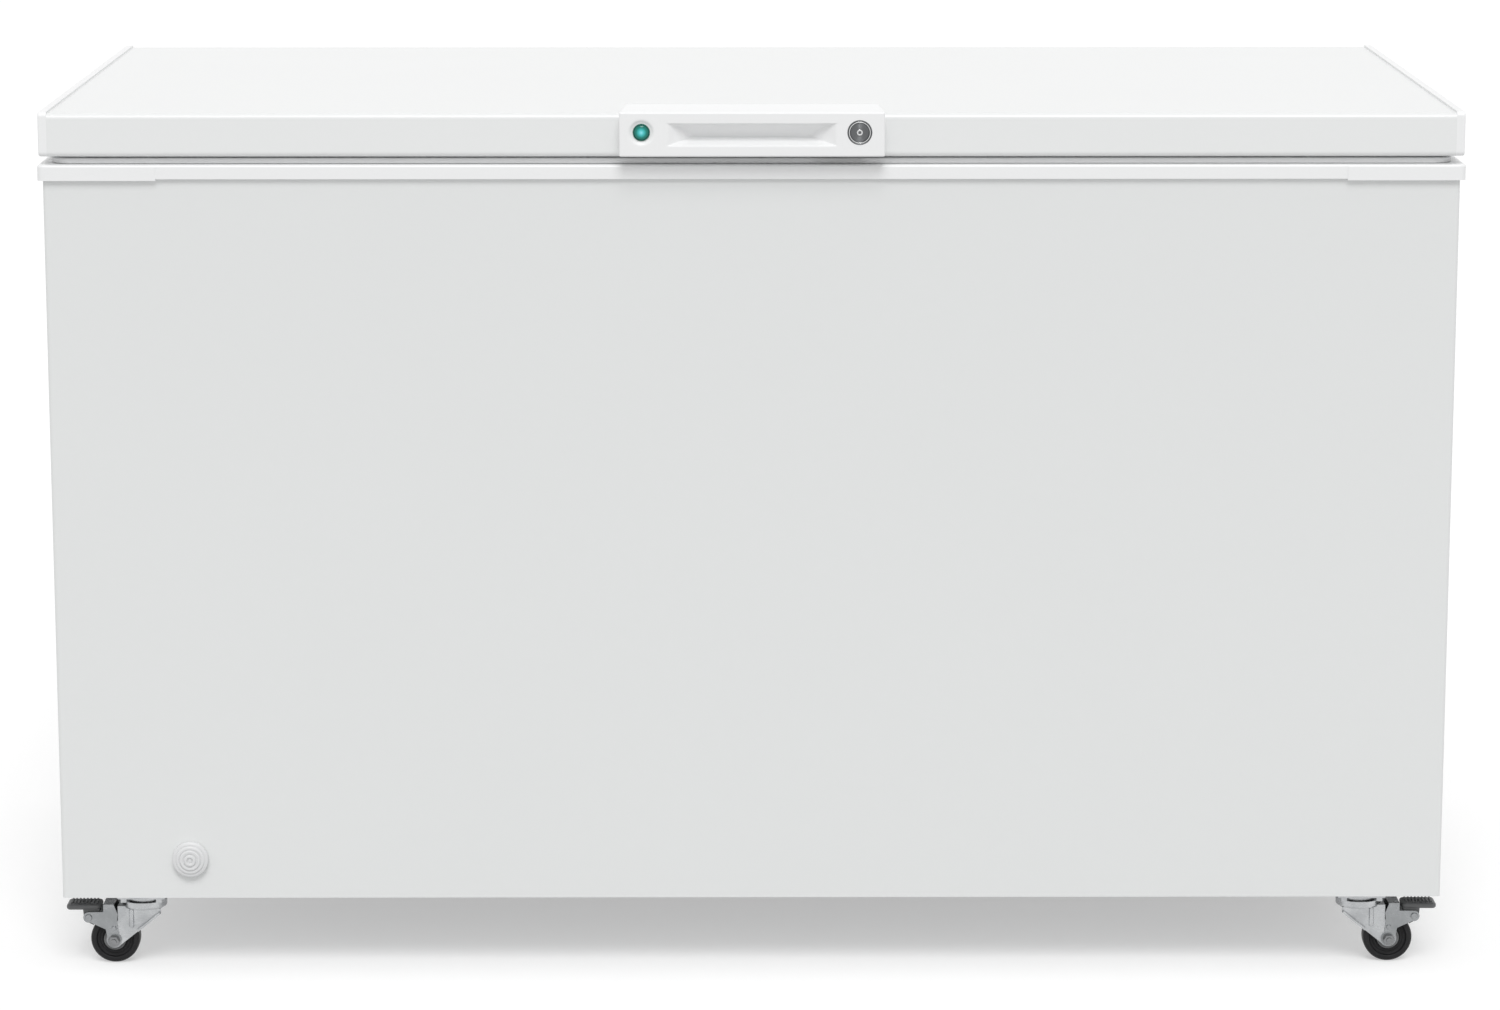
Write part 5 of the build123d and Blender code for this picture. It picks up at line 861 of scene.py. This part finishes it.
# %% Wheel pieces
TREAD_R = 25.0
SHOULDER = {"centre": (20.8, 5.9), "radius": 4.1}
wheel_side = [
    (11.2, 9.6), (11.9, 9.4), (12.3, 8.9), (12.5, 7.6), (13.0, 7.1), (15.0, 6.9), (15.3, 7.3), (15.9, 7.35),
    (16.2, 6.9), (17.4, 7.0), (18.2, 7.5), (18.6, 9.2), (19.0, 9.75), (19.6, 10.0),
]
tread = [(TREAD_R - 0.09, 5.0), (TREAD_R - 0.03, 2.5), (TREAD_R, 0.0)]
hub_side = np.array(
    [(11.3, 9.6), (11.0, 10.4), (10.4, 10.5), (9.6, 10.1), (9.2, 10.3), (9.0, 11.2), (8.6, 11.5), (3.08, 11.5)]
)
MIRRORED = (1, -1)

shoulder = arc(SHOULDER["centre"], SHOULDER["radius"], 0, 90, 9)[::-1]
tyre_side = np.concatenate([wheel_side, shoulder, tread])
tyre_outline = np.concatenate([tyre_side, tyre_side[:-1][::-1] * MIRRORED])
hub_outline = np.concatenate([hub_side[::-1] * MIRRORED, hub_side])
for corner in CORNERS:
    wheel_low, wheel_high = box_mm(f"caster_wheel_{corner}")
    axle = (wheel_low + wheel_high) / 2
    body = f"wheel_{corner}"
    tyre = turned(tyre_outline, axle, steps=120)
    bushing = turned(hub_outline, axle, steps=72)
    new_piece(
        f"tyre_{corner}", [tyre], body, "wheel_rubber", FINISH["wheel_rubber"], [f"caster_wheel_{corner}"]
    )
    new_piece(f"bushing_{corner}", [bushing], body, "wheel_rubber", WHEEL_HUB)


# %% [markdown]
# ## The thermostat's scale
#
# A cold-setting dial needs a mark to read: a wedge moulded round it that grows with the cold, and a pointer
# on the grip. No words are wanted for that. The wedge is a four-cornered section carried round the dial's
# own axis over the joint's own range, so the pointer always ends on it.

# %% Dial scale and pointer
dial = next(joint for joint in frame["joints"] if joint["name"] == "dial_turn")
dial_mid = np.array(dial["pos_m"]) / MM
panel_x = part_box("vent_grille")[1][0] / MM
grip_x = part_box("control_dial")[1][0] / MM
SCALE_R = 22.5
SCALE_WIDTH = (0.5, 3.4)
MARK_T = 0.35
POINTER = {"half_width": 0.8, "from": 7.0, "to": 16.5}
UPRIGHT = 90


def scale_wedge(steps=72):
    """At each angle of the dial's turn, a flat section whose width grows evenly from the first to the last."""
    turn = np.radians(UPRIGHT + dial["axis"][0] * np.linspace(*dial["range_deg"], steps))[:, None]
    width = np.linspace(*SCALE_WIDTH, steps)[:, None]
    radius = SCALE_R + width * np.array([0, 0, 1, 1])
    proud = panel_x + MARK_T * np.array([-1, 1, 1, -1]) + 0 * radius
    y, z = dial_mid[1] + radius * np.cos(turn), dial_mid[2] + radius * np.sin(turn)
    return capped(np.stack([proud, y, z], -1))


pointer_z = np.array([POINTER["from"], POINTER["to"]])[:, None] + np.zeros(4)
pointer_y = POINTER["half_width"] * np.array([-1, -1, 1, 1]) + 0 * pointer_z
pointer_x = MARK_T * np.array([-1, 1, 1, -1]) + 0 * pointer_z
pointer = np.stack([grip_x + pointer_x, dial_mid[1] + pointer_y, dial_mid[2] + pointer_z], -1)
new_piece("dial_scale", [scale_wedge()], "cabinet", "black_plastic", FINISH["black_plastic"])
new_piece("dial_pointer", [capped(pointer)], "control_dial", "black_plastic", FINISH["black_plastic"])


# %% [markdown]
# ## Round wire
#
# Baskets and springs are wire. A wire is a circle carried along a path: at each point the circle stands
# square to the path, and two directions that are square to it and to one another give its points. A bend
# replaces each corner of a path by a smooth quarter turn.

# %% Wire and bends
ODD_DIRECTION = (0.31, 0.59, 0.74)  # no wire here runs along it, so a cross product with it never vanishes


def unit(vectors):
    """Vectors divided by their lengths."""
    return vectors / np.linalg.norm(vectors, axis=1, keepdims=True)


def tube(path, radius, sides=12):
    """A round wire: a circle carried along a path, square to it, with closed ends."""
    path = np.asarray(path, float)
    along = unit(np.gradient(path, axis=0))
    aside = unit(np.cross(along, ODD_DIRECTION))
    upward = np.cross(along, aside)
    angle = np.linspace(0, 2 * np.pi, sides, endpoint=False)[None, :, None]
    ring = np.cos(angle) * aside[:, None] + np.sin(angle) * upward[:, None]
    return capped(path[:, None] + radius * ring)


def bent(points, bend, steps=7):
    """A wire path through its corner points, each corner replaced by a smooth turn of the given size."""
    points = np.asarray(points, float)
    before, corner, after = points[:-2], points[1:-1], points[2:]
    into, out = unit(before - corner)[:, None], unit(after - corner)[:, None]
    share = np.linspace(0, np.pi / 2, steps)[None, :, None]
    turn = corner[:, None] + bend * (into * (1 - np.sin(share)) + out * (1 - np.cos(share)))
    return np.concatenate([points[:1], turn.reshape(-1, 3), points[-1:]])


print("points of a wire with two bends:", len(bent([(0, 0, 9), (0, 0, 0), (9, 0, 0), (9, 0, 9)], 2)))


# %% [markdown]
# ## Wire baskets
#
# A freezer basket is welded from round coated wire: a rim that hooks over the ledges, wires bent up from the
# floor at both ends, and hoops round them. Every wire comes from the box of the basket's own node.

# %% Baskets
WIRE_R = 2.0
BEND = 14.0
HOOK_REACH = 17.5
END_GAP = 10.0
RIBS, STAYS = 7, 5
STAY_SPREAD = 2 / 3
HOOPS = (0.36, 0.7)


def basket_wires(node):
    """All the wires of one basket: two hanging bars, two side bars, ribs and stays bent up, and hoops."""
    low, high = box_mm(node)
    mid = (low + high) / 2
    half_x = (high - low)[0] / 2 - WIRE_R
    hang = (high - low)[1] / 2
    half_y = hang - HOOK_REACH - WIRE_R
    top = high[2] - WIRE_R
    floor = low[2] + 3 * WIRE_R
    under = floor - 2 * WIRE_R
    edge = half_x - 2 * WIRE_R
    on_mid = (mid[0], mid[1], 0)
    ribs = np.linspace(-1, 1, RIBS) * (half_x - END_GAP)
    stays = np.linspace(-1, 1, STAYS) * half_y * STAY_SPREAD
    bars = [[(x, -hang, top), (x, hang, top)] for x in (-half_x, half_x)]
    bars += [[(-half_x, y, top), (half_x, y, top)] for y in (-half_y, half_y)]
    bends = [[(x, -half_y, top), (x, -half_y, floor), (x, half_y, floor), (x, half_y, top)] for x in ribs]
    bends += [[(-edge, y, top), (-edge, y, under), (edge, y, under), (edge, y, top)] for y in stays]
    ring, _ = rounded_ring(half_x, half_y - 2 * WIRE_R, BEND)
    hoop = np.vstack([ring, ring[:1]]) + mid[:2]
    heights = [floor + share * (top - floor) for share in HOOPS]
    wires = [tube(np.array(bar) + on_mid, WIRE_R) for bar in bars]
    wires += [tube(bent(np.array(path) + on_mid, BEND), WIRE_R) for path in bends]
    wires += [tube(np.column_stack([hoop, np.full(len(hoop), z)]), WIRE_R) for z in heights]
    return wires


for side in ("left", "right"):
    basket = f"basket_{side}"
    wires = basket_wires(basket)
    new_piece(f"basket_wires_{side}", wires, basket, "coated_wire", FINISH["coated_wire"], [basket])


# %% [markdown]
# ## Hinge screws
#
# Each hinge base is held by four pan-head screws with a cross recess. A head is one surface over radius and
# angle: a low dome, less a cross whose walls fall softly.

# %% Screw heads
screw_low, screw_high = box_mm("hinge_screws")
SCREW_R = 4.5
SCREW_SPAN = 62.0
DOME_FALL = 0.5
CROSS = {"half_width": 0.6, "reach": 2.6, "depth": 1.1, "soft": 0.22}


def screw_head(x, z, rows=26, steps=64):
    """Height over radius and angle: a dome that falls with the square of the radius, less the cross."""
    radius = SCREW_R * np.append(np.linspace(0, 1, rows), 1.0)[:, None]
    angle = np.linspace(0, 2 * np.pi, steps, endpoint=False)[None]
    across, up = radius * np.cos(angle), radius * np.sin(angle)
    near = CROSS["half_width"] - np.minimum(np.abs(across), np.abs(up))
    wall = np.minimum(near, CROSS["reach"] - radius) / CROSS["soft"]
    domed = (screw_high - screw_low)[1] * (1 - DOME_FALL * (radius / SCREW_R) ** 2)
    height = domed - CROSS["depth"] * (1 + np.tanh(wall)) / 2
    height[-1] = 0
    points = np.stack([x + across, screw_low[1] + height, z + up], -1)
    return points.reshape(-1, 3), quads_of(len(radius), steps, close_columns=True)


screw_x = screw_high[0] - SCREW_R - np.array([0, SCREW_SPAN])
screw_z = (screw_low[2] + SCREW_R, screw_high[2] - SCREW_R)
heads = [screw_head(x, z) for x in (*screw_x, *-screw_x) for z in screw_z]
new_piece("hinge_screw_heads", heads, "cabinet", "zinc_steel", FINISH["zinc_steel"], ["hinge_screws"])


# %% [markdown]
# ## Hinge springs
#
# Each hinge has a torsion spring on its pin: five turns between a leg on the back plate and a leg on the
# lid's leaf. The path is one helix with a straight leg at both ends, each leg leaving the coil along its
# tangent.

# %% Spring path
hinge = next(joint for joint in frame["joints"] if joint["name"] == "lid_hinge")
PIN = np.array(hinge["pos_m"]) / MM
SPRING_WIRE = 1.4
COIL_R = 6.2
COIL_PITCH = 4.4
COIL_TURNS = 5
PLATE_T = 2.5
FOOT_Z, HEAD_Z = 802.5, 838.0
LEG_LEAN = 0.4
HINGE_X = 450.0
back_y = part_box("back_panel")[1][1] / MM
leaf_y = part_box("hinge_leaves")[0][1] / MM
FOOT = np.array([back_y + PLATE_T + SPRING_WIRE - PIN[1], FOOT_Z - PIN[2]])
HEAD = np.array([leaf_y + PLATE_T + SPRING_WIRE - PIN[1], HEAD_Z - PIN[2]])


def spring_path(x, steps=240, leg_steps=12):
    """A helix about the pin, from the leg that rests on the back plate to the leg on the lid's leaf."""
    start = math.atan2(FOOT[1], FOOT[0]) - math.acos(COIL_R / np.hypot(*FOOT))
    end = math.atan2(HEAD[1], HEAD[0]) + math.acos(COIL_R / np.hypot(*HEAD))
    sweep = 2 * np.pi * COIL_TURNS + (start - end) % (2 * np.pi)
    share = np.linspace(0, 1, steps)
    angle = start - share * sweep
    width = COIL_PITCH * sweep / (2 * np.pi)
    y, z = PIN[1] + COIL_R * np.cos(angle), PIN[2] + COIL_R * np.sin(angle)
    coil = np.stack([x + (0.5 - share) * width, y, z], -1)
    foot_end = (coil[0, 0] + LEG_LEAN, PIN[1] + FOOT[0], PIN[2] + FOOT[1])
    head_end = (coil[-1, 0] - LEG_LEAN, PIN[1] + HEAD[0], PIN[2] + HEAD[1])
    first = np.linspace(foot_end, coil[0], leg_steps)[:-1]
    last = np.linspace(coil[-1], head_end, leg_steps)[1:]
    return np.concatenate([first, coil, last]), width


print("coil width:", round(spring_path(HINGE_X)[1], 2))

# %% [markdown]
# ### The springs in place
#
# On the real hinge one leg stays with the cabinet and the other goes with the lid. Here each spring is made
# once, with the lid closed, and is put on no body.

# %% Springs
for name, x in (("left", -HINGE_X), ("right", HINGE_X)):
    path, width = spring_path(x)
    wire = tube(path, SPRING_WIRE)
    spring = new_piece(
        f"hinge_spring_{name}", [wire], None, "spring_steel", FINISH["spring_steel"], ["hinge_springs"]
    )
    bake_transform(spring)


# %% [markdown]
# ## The studio's floor
#
# The freezer stands on a wide pale floor. The floor adds a little white of its own for the camera and for
# mirrors, which lifts it to the paper white behind the object and leaves the shadow under the cabinet.

# %% Floor paper
FLOOR_GREY = 0.62
FLOOR_LIFT = 0.42
PAPER_ROUGH = 0.9


def white_to_eyes(tree):
    """One where the ray comes from the camera or from a mirror or glass surface, else zero."""
    path = tree.nodes.new("ShaderNodeLightPath")
    seen = math_node(tree, "MAXIMUM", path.outputs["Is Camera Ray"], path.outputs["Is Glossy Ray"])
    return math_node(tree, "MAXIMUM", seen, path.outputs["Is Transmission Ray"])


def paper_finish():
    """Matt pale grey without gloss, with a little white added for the camera."""
    finish, tree, shader = start_finish("studio_paper")
    shader.inputs["Base Color"].default_value = (FLOOR_GREY, FLOOR_GREY, FLOOR_GREY, 1)
    shader.inputs["Roughness"].default_value = PAPER_ROUGH
    shader.inputs["Specular IOR Level"].default_value = 0.0
    shader.inputs["Emission Color"].default_value = (1, 1, 1, 1)
    lift = math_node(tree, "MULTIPLY", white_to_eyes(tree), FLOOR_LIFT)
    tree.links.new(lift, shader.inputs["Emission Strength"])
    return finish


PAPER = paper_finish()
print("floor finish:", PAPER.name)


# %% [markdown]
# ### A disc to stand on
#
# The floor is a disc so wide that its edge is far behind the freezer.

# %% Floor
FLOOR_RINGS = np.array([0.0, 4.0, 60.0])


def make_floor(steps=64):
    """A wide disc at the wheels' foot: circles of growing radius at height zero."""
    angle = np.linspace(0, 2 * np.pi, steps, endpoint=False)
    radius = FLOOR_RINGS[:, None] / MM
    points = np.stack([radius * np.cos(angle), radius * np.sin(angle), 0 * radius * angle], -1)
    cells = quads_of(len(radius), steps, close_columns=True)
    mesh = mesh_of("studio_floor", [(points.reshape(-1, 3), cells)])
    mesh.materials.append(PAPER)
    floor = bpy.data.objects.new("studio_floor", mesh)
    bpy.context.scene.collection.objects.link(floor)
    return floor


print("floor points:", len(make_floor().data.vertices))


# %% [markdown]
# ## Light
#
# An even sky and one soft high sun light the freezer. The sky gives white to the camera and to reflections
# and a plain level of light to everything else, so white paint stays below clipping.

# %% Sky and sun
SKY_LEVEL = 0.68
SUN = {"towards": (-0.03, 0.62, -0.784), "strength": 1.4, "softness": 30}


def make_sky(level):
    """A world that is white to the camera and to mirrors and a plain level of light to the rest."""
    world = bpy.data.worlds.new("studio_sky")
    world.use_nodes = True
    tree = world.node_tree
    back = tree.nodes["Background"]
    back.inputs["Color"].default_value = (1, 1, 1, 1)
    lift = math_node(tree, "MULTIPLY", white_to_eyes(tree), 1.0 - level)
    tree.links.new(math_node(tree, "ADD", lift, level), back.inputs["Strength"])
    bpy.context.scene.world = world


def make_sun(name, towards, strength, softness):
    """A sun that shines along a direction, with a soft edge given in degrees."""
    lamp = bpy.data.lights.new(name, "SUN")
    lamp.energy = strength
    lamp.angle = math.radians(softness)
    piece = bpy.data.objects.new(name, lamp)
    x, y, z = towards
    piece.rotation_euler = (math.atan2(math.hypot(x, y), -z), 0, math.atan2(-x, y))
    bpy.context.scene.collection.objects.link(piece)


make_sky(SKY_LEVEL)
make_sun("key", **SUN)
print("sky level:", SKY_LEVEL, "sun strength:", SUN["strength"])

# %% [markdown]
# ## Camera
#
# The camera stands well back and a little above the lid, with a long lens, as for a catalogue. It looks down
# by some degrees, so the lid's top shows.

# %% Camera
EYE = (-0.022, -4.992, 1.376)
LOOK_DOWN = 10.91
LOOK_ASIDE = -0.248

camera = bpy.data.cameras.new("photo_camera")
camera.lens = 113.5
camera.sensor_width = 36.0
camera_piece = bpy.data.objects.new("photo_camera", camera)
camera_piece.location = EYE
camera_piece.rotation_euler = (math.radians(90 - LOOK_DOWN), 0, math.radians(LOOK_ASIDE))
bpy.context.scene.collection.objects.link(camera_piece)
bpy.context.scene.camera = camera_piece
bpy.context.scene.view_settings.view_transform = "Standard"
print("camera at:", EYE)
